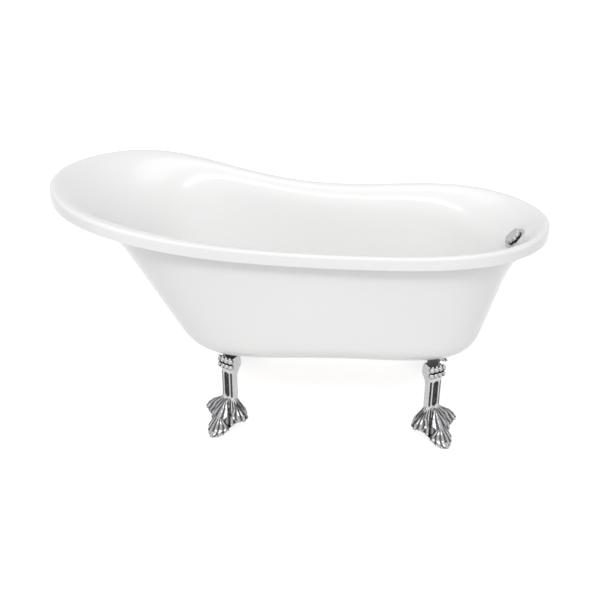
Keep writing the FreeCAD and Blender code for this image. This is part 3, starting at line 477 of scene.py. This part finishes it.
def rim_point(angle, insets, drop):
    """Point of an outline that follows the rim, drawn in from its head, foot and sides."""
    head, foot, side = insets
    along = -math.cos(angle)
    low = -RIM_LENGTH / 2 + head
    high = RIM_LENGTH / 2 - foot
    across = (RIM_WIDTH / 2 - side) * rim_share(angle) / WIDEST
    return Vector(((low + high) / 2 + (high - low) / 2 * along, -across,
                   rim_height(along * RIM_LENGTH / 2) - drop))


def lip_ring(inset, drop):
    return lambda share: rim_point(2 * math.pi * share, (inset, inset, inset), drop)


class Skin:
    """A face of a sheet: rounded low corner, sloping wall and a flare out to the rim."""

    def __init__(self, insets, head, foot, half_width, radius, height, top, flare_side, flare_end):
        self.insets = insets
        self.head = head
        self.foot = foot
        self.half_width = half_width
        self.radius = radius
        self.height = height
        self.top = top
        self.flare_side = flare_side
        self.flare_end = flare_end

    def low(self, angle):
        cosine = math.cos(angle)
        sine = math.sin(angle)
        along = -math.copysign(abs(cosine) ** (2 / LOW_SQUARENESS), cosine)
        across = math.copysign(abs(sine) ** (2 / LOW_SQUARENESS), sine)
        across *= self.half_width * (1 - LOW_TAPER * along)
        middle = (self.foot - self.head) / 2
        return Vector((middle + (self.foot + self.head) / 2 * along, -across, self.height))

    def inward(self, angle):
        middle = Vector(((self.foot - self.head) / 2, 0, self.height))
        return (middle - self.low(angle)).normalized()

    def wall(self, angle, share):
        low = self.low(angle)
        return low + (rim_point(angle, self.insets, LIP_DEPTH) - low) * share

    def corner(self, angle, degrees):
        turn = math.radians(degrees)
        slope = self.wall(angle, 1) - self.low(angle)
        point = self.low(angle) + slope * (self.radius * (1 - math.cos(turn)) / slope.z)
        return point + self.inward(angle) * self.radius * (1 - math.sin(turn))

    def flat(self, angle, inwards):
        return self.low(angle) + self.inward(angle) * (self.radius + inwards)

    def flare(self, angle, share):
        end = math.cos(angle) ** 4
        first, second = (mix(side, tip, end) for side, tip in zip(self.flare_side, self.flare_end))
        top = rim_point(angle, (self.top[0],) * 3, self.top[1])
        rest = 1 - share
        return (self.wall(angle, first) * rest * rest + self.wall(angle, second) * (2 * share * rest)
                + top * (share * share))

    def rings(self, flare_steps, wall_steps, corner_steps):
        """Rings from the top of the flare down to the flat."""
        made = [lambda s, q=q: self.flare(2 * math.pi * s, q) for q in flare_steps]
        for q in wall_steps:
            made.append(lambda s, q=q: mix(self.corner(2 * math.pi * s, 90),
                                           self.flare(2 * math.pi * s, 0), q))
        made += [lambda s, t=t: self.corner(2 * math.pi * s, t) for t in corner_steps]
        return made


BASIN = Skin((143.0, 95.0, 72.0), 315.0, 510.0, 212.0, 90.0, FLOOR, (LIP_FLAT, 0.6),
             (0.84, 1.07), (0.62, 0.83))
SHELL = Skin((113.0, 73.0, 54.0), 322.0, 552.0, 243.0, 64.0, UNDERSIDE, (14.0, 6.2),
             (0.86, 1.02), (0.62, 0.79))
FLARE_STEPS = (0.94, 0.86, 0.76, 0.64, 0.5, 0.34, 0.17, 0.0)
WALL_STEPS = (0.88, 0.74, 0.6, 0.46, 0.32, 0.18, 0.06)
CORNER_STEPS = (90, 74, 58, 42, 26, 10, 0)
FLOOR_STEPS = (0.12, 0.3, 0.5, 0.7, 0.86, 0.95, 1.0)
SHELL_FLARE_STEPS = (1.0, 0.9, 0.78, 0.64, 0.5, 0.34, 0.17, 0.0)
SHELL_CORNER_STEPS = (90, 76, 62, 48, 34, 20, 8, 0)
SHELL_FLAT_STEPS = (8, 20, 34)

DRAIN_X = 375.0
DRAIN_HOLE = 23.0
# the flat for the overflow plate: how far it reaches, its level part, its edge and its height
FLAT_REACH = 80.0
FLAT_DEPTH = 40.0
FLAT_LEVEL = 40.0
FLAT_EDGE = 66.0
FLAT_PROUD = 2.0
for joint in frame["joints"]:
    if joint["name"] == "knob_turn":
        OVERFLOW = Vector(joint["pos_m"]) / MM
        OVERFLOW_AXIS = Vector(joint["axis"]).normalized()
WALL_WAY = Vector((OVERFLOW_AXIS.z, 0, -OVERFLOW_AXIS.x))
OVERFLOW_MATRIX = Matrix.Translation(OVERFLOW * MM) @ Matrix(
    ((-WALL_WAY.x, 0, OVERFLOW_AXIS.x), (0, 1, 0), (-WALL_WAY.z, 0, OVERFLOW_AXIS.z))).to_4x4()


def floor_ring(step):
    """Ring on the basin's floor between its rounded corner, 0, and the drain's hole, 1."""
    def ring(share):
        edge = BASIN.corner(2 * math.pi * share, 0)
        centre = Vector((DRAIN_X, 0, FLOOR))
        hole = centre + (edge - centre).normalized() * DRAIN_HOLE
        return mix(edge, hole, step)
    return ring


def moulded_flat(point):
    """Draws the wall round the overflow into a flat, with a soft dimple at its edge."""
    away = point - OVERFLOW
    height = away.dot(OVERFLOW_AXIS)
    radius = (away - OVERFLOW_AXIS * height).length
    if radius > FLAT_REACH or abs(height) > FLAT_DEPTH:
        return point
    share = 1 - ease(FLAT_LEVEL, FLAT_EDGE, radius)
    return point + OVERFLOW_AXIS * ((FLAT_PROUD - height) * share)


basin_rings = [lip_ring(0, LIP_DEPTH), lip_ring(0, 30), lip_ring(0, 20), lip_ring(0, 11)]
for turn in LIP_TURNS:
    inset = LIP_ROUND * (1 - math.cos(math.radians(turn)))
    drop = LIP_ROUND * (1 - math.sin(math.radians(turn)))
    basin_rings.append(lip_ring(inset, drop))
basin_rings += [lip_ring(12, 0.05), lip_ring(16.5, 0.3)]
basin_rings += BASIN.rings(FLARE_STEPS, WALL_STEPS, CORNER_STEPS)
basin_rings += [floor_ring(step) for step in FLOOR_STEPS]
basin = ring_stack("basin", basin_rings, ROUND_COUNT)
face_towards(basin, (0, 0, FLOOR), (0, 0, 1))
apply_modifier(basin, "SUBSURF", levels=1, render_levels=1, boundary_smooth="PRESERVE_CORNERS")
for vert in basin.data.vertices:
    vert.co = moulded_flat(vert.co / MM) * MM
apply_modifier(basin, "SOLIDIFY", thickness=BASIN_WALL * MM, offset=-1.0)
finish_piece(basin, "bath", ["basin_shell"], WHITE_ACRYLIC, 50)

shell_rings = SHELL.rings(SHELL_FLARE_STEPS, WALL_STEPS, SHELL_CORNER_STEPS)
shell_rings += [lambda s, q=q: SHELL.flat(2 * math.pi * s, q) for q in SHELL_FLAT_STEPS]
shell = ring_stack("outer_sheet", shell_rings, ROUND_COUNT)
face_towards(shell, (100, -260, 450), (0, -1, 0))
apply_modifier(shell, "SUBSURF", levels=1, render_levels=1, boundary_smooth="PRESERVE_CORNERS")
apply_modifier(shell, "SOLIDIFY", thickness=SHELL_WALL * MM, offset=-1.0)
finish_piece(shell, "bath", ["outer_shell"], WHITE_ACRYLIC, 50)


# ---------------------------------------------------------------- the cast legs

LEG_TOP = 250.0
LEG_HALF = 22.5
LEG_FRONT = 19.0
LEG_BACK = 9.0
SKIRT_TOP = 104.0
# the deep flute down the middle and the two narrow ones: place across, half-width and depth
FLUTES = ((0.0, 10.2, 3.8), (16.8, 3.1, 2.4), (-16.8, 3.1, 2.4))
FLUTE_BOTTOM = SKIRT_TOP + 6
FLUTE_TOP = 200.0
# height and depth behind the axis, out to the ear under the spacer
BACK_LINE = ((0.0, LEG_BACK), (188.0, LEG_BACK), (212.0, LEG_BACK + 20), (232.0, LEG_BACK + 20),
             (250.0, LEG_BACK + 12))
BALL = 9.5
BALL_RISE = 3.5
BALL_ROWS = (1.0, 3.1)
BALL_PLACES = (-0.9, -0.3, 0.3, 0.9)
TIP_PROFILE = ((4.6, 0), (5.2, 2), (4.4, 4.5), (2.6, 7.2), (1.0, 9.0), (0.3, 9.4))
SOLE = 3.0
PAD_HEEL = 52.0
PAD_TOE = 94.0
PAD_WIDTH = 22.0
LEG_PLACES = {"head_front": (-203.0, -184.0, -121.0), "head_rear": (-203.0, 184.0, 121.0),
              "foot_front": (428.0, -184.0, -59.0), "foot_rear": (428.0, 184.0, 59.0)}
# height, waist, side lobe and front reach of the skirt, and the half-angle of its tongue
SKIRT = ((104.0, 18.0, 24.0, 19.5, 40.0), (94.0, 20.0, 35.0, 26.0, 40.0),
         (82.0, 26.0, 56.0, 35.0, 40.0), (68.0, 36.0, 71.0, 50.0, 40.0),
         (52.0, 44.0, 78.0, 62.0, 40.0), (38.0, 44.0, 72.0, 74.0, 40.0),
         (22.0, 42.0, 62.0, 87.0, 38.0), (10.0, 34.0, 50.0, 97.0, 36.0),
         (3.0, 26.0, 40.0, 102.0, 30.0))
LOBE_AT = 70.0
LOBE_SPREAD = 27.0
SKIRT_TURN = 118.0
SKIRT_ROUND = 240
SKIRT_DOWN = 34
SKIRT_WALL = 4.0
RIB_TURN = 13.0
RIB_HEIGHT = 3.6
LOBE_HEIGHT = 5.0
EDGE_CURL = 2.5
LEAF_WALL = 2.8
LEAF_RIB = 2.8
LEAF_SCALLOP = 3.5
# headings from the toe and lengths of the small rolls along the skirt's edge
ROLL_HEADINGS = (9, 17, 27, 40, 54, 68)
ROLL_LENGTH = 13.0
ROLL_RADIUS = 4.6


def skirt_reach(height, degrees):
    """Distance of the skirt's plain face from the shaft's axis."""
    height = min(max(height, SKIRT[-1][0]), SKIRT[0][0])
    for upper, lower in zip(SKIRT, SKIRT[1:]):
        if lower[0] <= height <= upper[0]:
            share = (upper[0] - height) / (upper[0] - lower[0])
            waist, lobe, front, spread = (mix(a, b, share) for a, b in zip(upper[1:], lower[1:]))
            break
    side = (lobe - waist) * math.exp(-((abs(degrees) - LOBE_AT) / LOBE_SPREAD) ** 2)
    return waist + side + (front - waist) * math.exp(-(degrees / spread) ** 2)


def skirt_bottom(degrees):
    """Height of the skirt's lower edge: it rises from the toe to the sides."""
    return SOLE + 56.0 * ease(5, 75, abs(degrees))


def ridge(phase, sharp=0.75):
    """Rounded ridges with narrow grooves between them, 0 in a groove and 1 on a ridge."""
    return abs(math.sin(math.pi * phase)) ** sharp


def leg_point(height, degrees, out):
    angle = math.radians(degrees)
    reach = skirt_reach(height, degrees) + out
    return Vector((reach * math.cos(angle), reach * math.sin(angle), height))


def skirt_skin():
    """The leaf-shaped skirt round the foot, open behind and ribbed down to its scalloped edge."""
    deselect_all()
    bpy.ops.mesh.primitive_grid_add(x_subdivisions=SKIRT_ROUND, y_subdivisions=SKIRT_DOWN, size=2.0)
    obj = bpy.context.active_object
    obj.name = "skirt"
    layer = painted_light_attribute(obj)
    for k, vert in enumerate(obj.data.vertices):
        degrees = vert.co.x * SKIRT_TURN
        level = (1 - vert.co.y) / 2
        height = mix(SKIRT_TOP + 4, skirt_bottom(degrees), level)
        rib = ridge(degrees / RIB_TURN + 0.5)
        lobe = ridge((degrees + 30.0) / 60.0, 0.35)
        depth = ease(0.02, 0.25, level)
        out = depth * (RIB_HEIGHT * (rib - 0.6) + LOBE_HEIGHT * (lobe - 0.8))
        out += EDGE_CURL * rib * ease(0.8, 1.0, level)
        vert.co = leg_point(height, degrees, out) * MM
        # painted shade between the ribs and the lobes, below the skirt's top band
        layer.data[k].value = mix(1.0, rib ** 1.6 * lobe, 1 - ease(SKIRT_TOP - 10, SKIRT_TOP, height))
    apply_modifier(obj, "SOLIDIFY", thickness=SKIRT_WALL * MM, offset=-1.0)
    for vert in obj.data.vertices:
        vert.co.z = max(vert.co.z, SOLE * MM)
    return obj


def leaf(name, heading, half_angle, top, bottom, ribs, out, curl, point_top):
    """A ribbed leaf that lies on the skirt and turns up at its lower edge."""
    across = 8 * ribs
    down = 16
    deselect_all()
    bpy.ops.mesh.primitive_grid_add(x_subdivisions=across, y_subdivisions=down, size=2.0)
    obj = bpy.context.active_object
    obj.name = name
    layer = painted_light_attribute(obj)
    for k, vert in enumerate(obj.data.vertices):
        t = vert.co.x
        q = (1 - vert.co.y) / 2
        width = half_angle * (point_top + (1 - point_top) * ease(-0.1, 0.75, q))
        degrees = heading + t * width
        scallop = ridge((t + 1) / 2 * ribs, 0.6)
        edge = bottom + (top - bottom) * 0.22 * abs(t) ** 2.2 - LEAF_SCALLOP * scallop
        height = mix(top - (top - bottom) * 0.12 * t * t, edge, q)
        rib = ridge((t + 1) / 2 * ribs, 0.7)
        belly = math.sin(math.pi * min(q * 1.05, 1.0)) * 2.0 * (1 - t * t)
        lift = out + belly + LEAF_RIB * rib * ease(0.0, 0.4, q) + curl * ease(0.72, 1.0, q)
        lift -= 5.0 * ease(0.86, 1.0, abs(t))
        vert.co = leg_point(height, degrees, lift) * MM
        # painted shade between the ribs, at the leaf's sides and towards its top
        layer.data[k].value = rib ** 2.4 * (1 - 0.9 * ease(0.8, 1.0, abs(t))) * ease(-0.25, 0.35, q)
    apply_modifier(obj, "SOLIDIFY", thickness=LEAF_WALL * MM, offset=-1.0)
    return obj


def shaft():
    """The straight shaft with three flutes down its face."""
    face = [LEG_HALF * (1 - 2 * k / 44) for k in range(45)]

    def back_at(height):
        for (z0, u0), (z1, u1) in zip(BACK_LINE, BACK_LINE[1:]):
            if z0 <= height <= z1:
                return mix(u0, u1, (height - z0) / (z1 - z0))
        return BACK_LINE[-1][1]

    def sink(across, height):
        deepest = 0.0
        for centre, half, depth in FLUTES:
            from_end = min(height - FLUTE_BOTTOM, FLUTE_TOP - height)
            if from_end < 0:
                continue
            near = half if from_end > half else math.sqrt(max(half ** 2 - (half - from_end) ** 2, 0))
            if abs(across - centre) < near:
                deepest = max(deepest, depth * math.sqrt(1 - ((across - centre) / near) ** 2))
        return deepest

    def outline(height):
        back = -back_at(height)
        points = []
        for across in face:
            rounding = 3.5 * ease(16, 22, abs(across))
            points.append((LEG_FRONT - 1.5 * (across / LEG_HALF) ** 2 - rounding
                           - sink(across, height), across))
        for k in range(1, 7):
            points.append((mix(LEG_FRONT - 5, back, k / 7), -LEG_HALF))
        for across in (-LEG_HALF + 1, -14, -7, 0, 7, 14, LEG_HALF - 1):
            points.append((back, across))
        for k in range(1, 7):
            points.append((mix(back, LEG_FRONT - 5, k / 7), LEG_HALF))
        return points

    heights = [60, 80, 96, 104]
    heights += [FLUTE_BOTTOM + d for d in (0, 0.3, 1, 2, 3.5, 5.5, 8, 14, 24, 34, 44, 54, 64, 74)]
    heights += [FLUTE_TOP - d for d in (8, 5.5, 3.5, 2, 1, 0.3, 0)]
    heights += [205, 212, 222, 228, 235, 243, 248.5, LEG_TOP]
    outlines = [outline(height) for height in heights]
    total = len(outlines[0])
    rings = []
    for height, points in zip(heights, outlines):
        shrink = 0.985 if height == LEG_TOP else 1.0
        rings.append(lambda s, p=points, h=height, r=shrink:
                     (p[round(s * total) % total][0] * r, p[round(s * total) % total][1] * r, h))
    obj = ring_stack("shaft", rings, total, True)
    layer = painted_light_attribute(obj)
    for k, vert in enumerate(obj.data.vertices):
        point = vert.co / MM
        # painted shade down the flutes of the shaft's face
        if point.x > 5:
            layer.data[k].value = 1 - 0.97 * min(sink(point.y, point.z) / 1.8, 1)
    return obj


def paint_highlight_by_facing(obj, centre, towards, low=0.1, high=0.95):
    """Painted highlight where a round form faces the given way, and painted shade round its edge."""
    layer = painted_light_attribute(obj)
    towards = Vector(towards).normalized()
    for k, vert in enumerate(obj.data.vertices):
        away = (vert.co / MM - Vector(centre)).normalized()
        layer.data[k].value = ease(low, high, away.dot(towards))


def ball(along, across, height):
    deselect_all()
    bpy.ops.mesh.primitive_uv_sphere_add(segments=24, ring_count=14, radius=BALL * MM,
                                         location=(along * MM, across * MM, height * MM))
    obj = bpy.context.active_object
    apply_place(obj)
    # painted highlight where the ball faces forward and up, painted shade round its edge
    paint_highlight_by_facing(obj, (along, across, height), (LEG_FRONT, across * 0.6, 14.0))
    return obj


def head_balls():
    """Two rows of balls across the head, with a small point over each of the upper ones."""
    made = []
    for row in BALL_ROWS:
        height = LEG_TOP + BALL_RISE - BALL * row
        for place in BALL_PLACES:
            along = LEG_FRONT + 2 - 2 * abs(place)
            made.append(ball(along, place * LEG_HALF, height))
            if row == BALL_ROWS[0]:
                made.append(tip(along + 3.5, place * LEG_HALF, height + 6.5))
    return made


def tip(along, across, height):
    """A small pointed bud."""
    obj = turned("tip", TIP_PROFILE, 16)
    painted_light_attribute(obj)
    move_mesh(obj, Matrix.Translation(Vector((along, across, height)) * MM))
    return obj


def roll(along, across, height, length, radius, turn):
    """A rolled edge of a leaf, thick in its middle."""
    deselect_all()
    bpy.ops.mesh.primitive_uv_sphere_add(segments=24, ring_count=12, radius=1.0)
    obj = bpy.context.active_object
    obj.scale = (radius * MM, length / 2 * MM, radius * MM)
    obj.rotation_euler = (0, 0, math.radians(turn))
    obj.location = (along * MM, across * MM, height * MM)
    apply_place(obj)
    # painted highlight on the roll's top, painted shade underneath
    paint_highlight_by_facing(obj, (along, across, height), (along, across, 60.0), -0.1, 0.9)
    return obj


def edge_beads():
    """Small rolls along the skirt's lower edge, from the toe to its sides."""
    made = [roll(94, 0, 12, 26, 8.5, 0), roll(86, 0, 18, 16, 5, 0)]
    for side in (1, -1):
        for degrees in ROLL_HEADINGS:
            point = leg_point(skirt_bottom(degrees) + 3.5, degrees, 0.0)
            made.append(roll(point.x, side * point.y, point.z, ROLL_LENGTH, ROLL_RADIUS,
                             side * (degrees * 0.9 + 10)))
    return made


def toe_sole():
    """Thick sole inside the toe, down to the pad."""
    rings = []
    for height, inset in ((SOLE, 0.6), (SOLE + 2, 0.0), (SOLE + 14, 3.0)):
        def ring(share, height=height, inset=inset):
            angle = 2 * math.pi * share
            along = PAD_HEEL + PAD_WIDTH / 2 if math.cos(angle) < 0 else PAD_TOE - PAD_WIDTH / 2
            radius = PAD_WIDTH / 2 + 1 - inset
            return (along + radius * math.cos(angle), radius * math.sin(angle), height)
        rings.append(ring)
    obj = ring_stack("sole", rings, 40, True)
    # the sole is painted dark, as shade inside the toe
    painted_light_attribute(obj, 0.2)
    return obj


def pocket_cutter():
    """Block that opens the back of the shaft, as cast legs are hollow behind."""
    deselect_all()
    bpy.ops.mesh.primitive_cube_add(size=1.0)
    obj = bpy.context.active_object
    obj.scale = (0.080, 0.029, 0.226)
    obj.location = (-0.032, 0, 0.125)
    apply_place(obj)
    # the faces that this block cuts inside the shaft are painted dark, as shade in the pocket
    painted_light_attribute(obj, 0.3)
    return obj


def build_leg():
    """One casting, facing +X with its shaft on the Z axis."""
    cutter = pocket_cutter()
    body = shaft()
    apply_modifier(body, "BOOLEAN", operation="DIFFERENCE", object=cutter, solver="EXACT")
    bpy.data.objects.remove(cutter)
    leaves = [leaf("toe_leaf", 0, 30, 62, 16, 6, 2.5, 5.0, 0.3),
              leaf("top_leaf", 0, 30, 104, 56, 3, 3.0, 3.0, 0.4)]
    for side in (1, -1):
        leaves.append(leaf("side_leaf", side * 62, 24, 94, 56, 4, 2.0, 4.0, 0.35))
        leaves.append(leaf("rear_leaf", side * 96, 15, 92, 64, 3, 1.5, 3.0, 0.35))
    return join("leg", [body, skirt_skin(), toe_sole()] + leaves + edge_beads() + head_balls())


pattern = build_leg()
for name, (x, y, heading) in LEG_PLACES.items():
    leg = pattern.copy()
    leg.data = pattern.data.copy()
    leg.name = "cast_leg_" + name
    bpy.context.collection.objects.link(leg)
    place = Matrix.Translation((x * MM, y * MM, 0)) @ Matrix.Rotation(math.radians(heading), 4, "Z")
    move_mesh(leg, place)
    finish_piece(leg, "bath", ["leg_" + name], CHROME, 45)
bpy.data.objects.remove(pattern)


# ---------------------------------------------------------------- overflow and waste


KNOB_LOBES = 8


def scallop_ring(radius, height, depth):
    """A ring of the knob, dipped between its finger scallops."""
    def ring(share):
        angle = 2 * math.pi * share
        dip = depth * (1 - abs(math.cos(KNOB_LOBES * angle / 2)) ** 0.6)
        return ((radius - dip) * math.cos(angle), (radius - dip) * math.sin(angle), height)
    return ring


def build_plate():
    """Domed overflow plate with a beaded step at its edge."""
    profile = [(36.8, 2.0), (37.0, 3.2), (36.6, 4.4), (35.4, 5.2), (33.6, 5.5), (32.4, 5.2),
               (31.2, 5.4), (28.0, 6.0), (22.0, 6.5), (14.0, 6.8), (6.0, 6.9), (4.1, 6.95)]
    obj = turned("plate", profile, 96)
    painted_light_attribute(obj)
    return obj


def build_knob():
    """Round knob with finger scallops and a dished face."""
    rings = [scallop_ring(24.0, 9.0, 0.0), scallop_ring(27.0, 9.4, 3.2),
             scallop_ring(28.0, 11.0, 4.0), scallop_ring(28.0, 15.0, 4.0),
             scallop_ring(27.4, 17.2, 3.8), scallop_ring(25.6, 18.6, 3.0),
             scallop_ring(22.0, 19.0, 1.2), circle_ring(18.0, 18.6), circle_ring(13.0, 17.6),
             circle_ring(8.0, 17.2), circle_ring(2.0, 17.0)]
    obj = ring_stack("knob", rings, 128, True)
    painted_light_attribute(obj)
    return obj


plate = build_plate()
move_mesh(plate, OVERFLOW_MATRIX)
finish_piece(plate, "bath", ["overflow_plate"], CHROME)
knob = build_knob()
move_mesh(knob, OVERFLOW_MATRIX)
finish_piece(knob, "knob", ["overflow_knob"], CHROME)

FLANGE_SEAT = FLOOR + 1.0


def build_flange():
    """Flange of the waste: a rounded ring with a recess for the stopper."""
    profile = [(21.0, 278.0), (21.0, FLANGE_SEAT), (35.2, FLANGE_SEAT), (36.0, FLANGE_SEAT + 1.2),
               (35.6, FLANGE_SEAT + 2.8), (34.0, FLANGE_SEAT + 4.2), (31.6, FLANGE_SEAT + 4.9),
               (28.6, FLANGE_SEAT + 4.9), (26.8, FLANGE_SEAT + 4.3), (26.0, FLANGE_SEAT + 3.2),
               (26.0, FLANGE_SEAT + 2.0), (17.5, FLANGE_SEAT + 2.0), (17.5, 278.0)]
    obj = turned("flange", profile, 96, (DRAIN_X, 0), closed=False)
    take(obj)
    bpy.ops.object.mode_set(mode="EDIT")
    bpy.ops.mesh.select_mode(type="EDGE")
    bpy.ops.mesh.select_non_manifold()
    bpy.ops.mesh.bridge_edge_loops()
    bpy.ops.mesh.select_all(action="SELECT")
    bpy.ops.mesh.normals_make_consistent(inside=False)
    bpy.ops.mesh.select_mode(type="VERT")
    bpy.ops.object.mode_set(mode="OBJECT")
    painted_light_attribute(obj)
    return obj


def build_stopper():
    """Domed stopper cap."""
    low = FLANGE_SEAT + 4.1
    profile = [(23.6, low), (24.4, low + 0.6), (24.5, low + 3.4), (24.0, low + 4.8),
               (22.6, low + 5.8), (19.5, low + 6.3), (12.0, low + 6.8), (4.0, low + 7.0),
               (1.0, low + 7.0)]
    obj = turned("stopper", profile, 96, (DRAIN_X, 0))
    painted_light_attribute(obj)
    return obj


finish_piece(build_flange(), "bath", ["drain_flange"], CHROME)
finish_piece(build_stopper(), "stopper", ["stopper_cap"], CHROME)
for label in ("tail_pipe", "tail_nut"):
    painted_light_attribute(frame["nodes"][label])


# ---------------------------------------------------------------- floor, light and camera

FLOOR_TINT = (0.72, 0.72, 0.72, 1)
FLOOR_GLOW = 0.74
FLOOR_SPAN = 40.0
LAMP_AIM = Vector((0, 0, 0.4))
# the room's level: plain, and added upwards, towards the front and towards the two ends
ROOM_LEVEL = 0.235
ROOM_UP = 0.3
ROOM_FRONT = 1.0
ROOM_ENDS = -0.34
ROOM_LEAST = 0.32


def seen_directly(tree):
    """1 for what the camera, gloss and glass see, and 0 for the light that falls on things."""
    path = node(tree, "ShaderNodeLightPath")
    seen = maths(tree, "MAXIMUM", path.outputs["Is Camera Ray"], path.outputs["Is Glossy Ray"])
    return maths(tree, "MAXIMUM", seen, path.outputs["Is Transmission Ray"])


def studio_material():
    """Pale floor that the camera and the gloss see nearly white, and that keeps its shadow."""
    material, tree, shader = new_material("Studio floor", Base_Color=FLOOR_TINT, Roughness=0.9)
    glow = node(tree, "ShaderNodeEmission")
    seen = seen_directly(tree)
    feed(tree, (maths(tree, "MULTIPLY", seen, FLOOR_GLOW), glow.inputs["Strength"]))
    both = node(tree, "ShaderNodeAddShader")
    end = tree.nodes["Material Output"]
    feed(tree, (shader.outputs[0], both.inputs[0]), (glow.outputs[0], both.inputs[1]),
         (both.outputs[0], end.inputs["Surface"]))
    return material


deselect_all()
bpy.ops.mesh.primitive_plane_add(size=FLOOR_SPAN)
floor = bpy.context.active_object
floor.name = "studio_floor"
floor.data.materials.append(studio_material())


def area_light(name, place, width, depth, power):
    """A soft rectangular lamp that points at the bath's middle."""
    data = bpy.data.lights.new(name, "AREA")
    data.shape = "RECTANGLE"
    data.size = width
    data.size_y = depth
    data.energy = power
    lamp = bpy.data.objects.new(name, data)
    bpy.context.collection.objects.link(lamp)
    lamp.location = place
    lamp.rotation_euler = (LAMP_AIM - Vector(place)).to_track_quat("-Z", "Y").to_euler()


area_light("overhead", (0.0, 0.2, 3.3), 3.2, 1.6, 19)
area_light("front", (0.0, -2.6, 2.9), 4.5, 0.6, 34)

world = bpy.data.worlds.new("Studio")
bpy.context.scene.world = world
world.use_nodes = True
sky = world.node_tree
backdrop = sky.nodes["Background"]
heading = node(sky, "ShaderNodeSeparateXYZ")
feed(sky, (node(sky, "ShaderNodeTexCoord").outputs["Generated"], heading.inputs[0]))
upper = maths(sky, "MULTIPLY", heading.outputs["Z"], ROOM_UP)
front = maths(sky, "MULTIPLY", heading.outputs["Y"], -ROOM_FRONT)
ends = maths(sky, "MULTIPLY", maths(sky, "ABSOLUTE", heading.outputs["X"]), ROOM_ENDS)
room = maths(sky, "ADD", maths(sky, "ADD", maths(sky, "ADD", upper, front), ends), ROOM_LEVEL)
level = mix_colour(sky, seen_directly(sky), maths(sky, "MAXIMUM", room, ROOM_LEAST), (1, 1, 1, 1))
feed(sky, (level, backdrop.inputs["Color"]), (1.0, backdrop.inputs["Strength"]))

CAMERA_PLACE = Vector((0.185, -2.380, 1.587))
CAMERA_AZIMUTH = math.radians(4.39)
CAMERA_FALL = math.radians(27.22)
CAMERA_ROLL = math.radians(0.16)
CAMERA_LENS = 49.92

camera_data = bpy.data.cameras.new("camera")
camera_data.lens = CAMERA_LENS
camera_data.sensor_width = 36.0
camera = bpy.data.objects.new("camera", camera_data)
bpy.context.collection.objects.link(camera)
forward = Vector((-math.sin(CAMERA_AZIMUTH) * math.cos(CAMERA_FALL),
                  math.cos(CAMERA_AZIMUTH) * math.cos(CAMERA_FALL), -math.sin(CAMERA_FALL)))
right = Vector((math.cos(CAMERA_AZIMUTH), math.sin(CAMERA_AZIMUTH), 0))
up = right.cross(forward)
turned_right = right * math.cos(CAMERA_ROLL) + up * math.sin(CAMERA_ROLL)
turned_up = up * math.cos(CAMERA_ROLL) - right * math.sin(CAMERA_ROLL)
camera.matrix_world = Matrix.Translation(CAMERA_PLACE) @ Matrix(
    (turned_right, turned_up, -forward)).transposed().to_4x4()
bpy.context.scene.camera = camera
bpy.context.scene.view_settings.view_transform = "Standard"
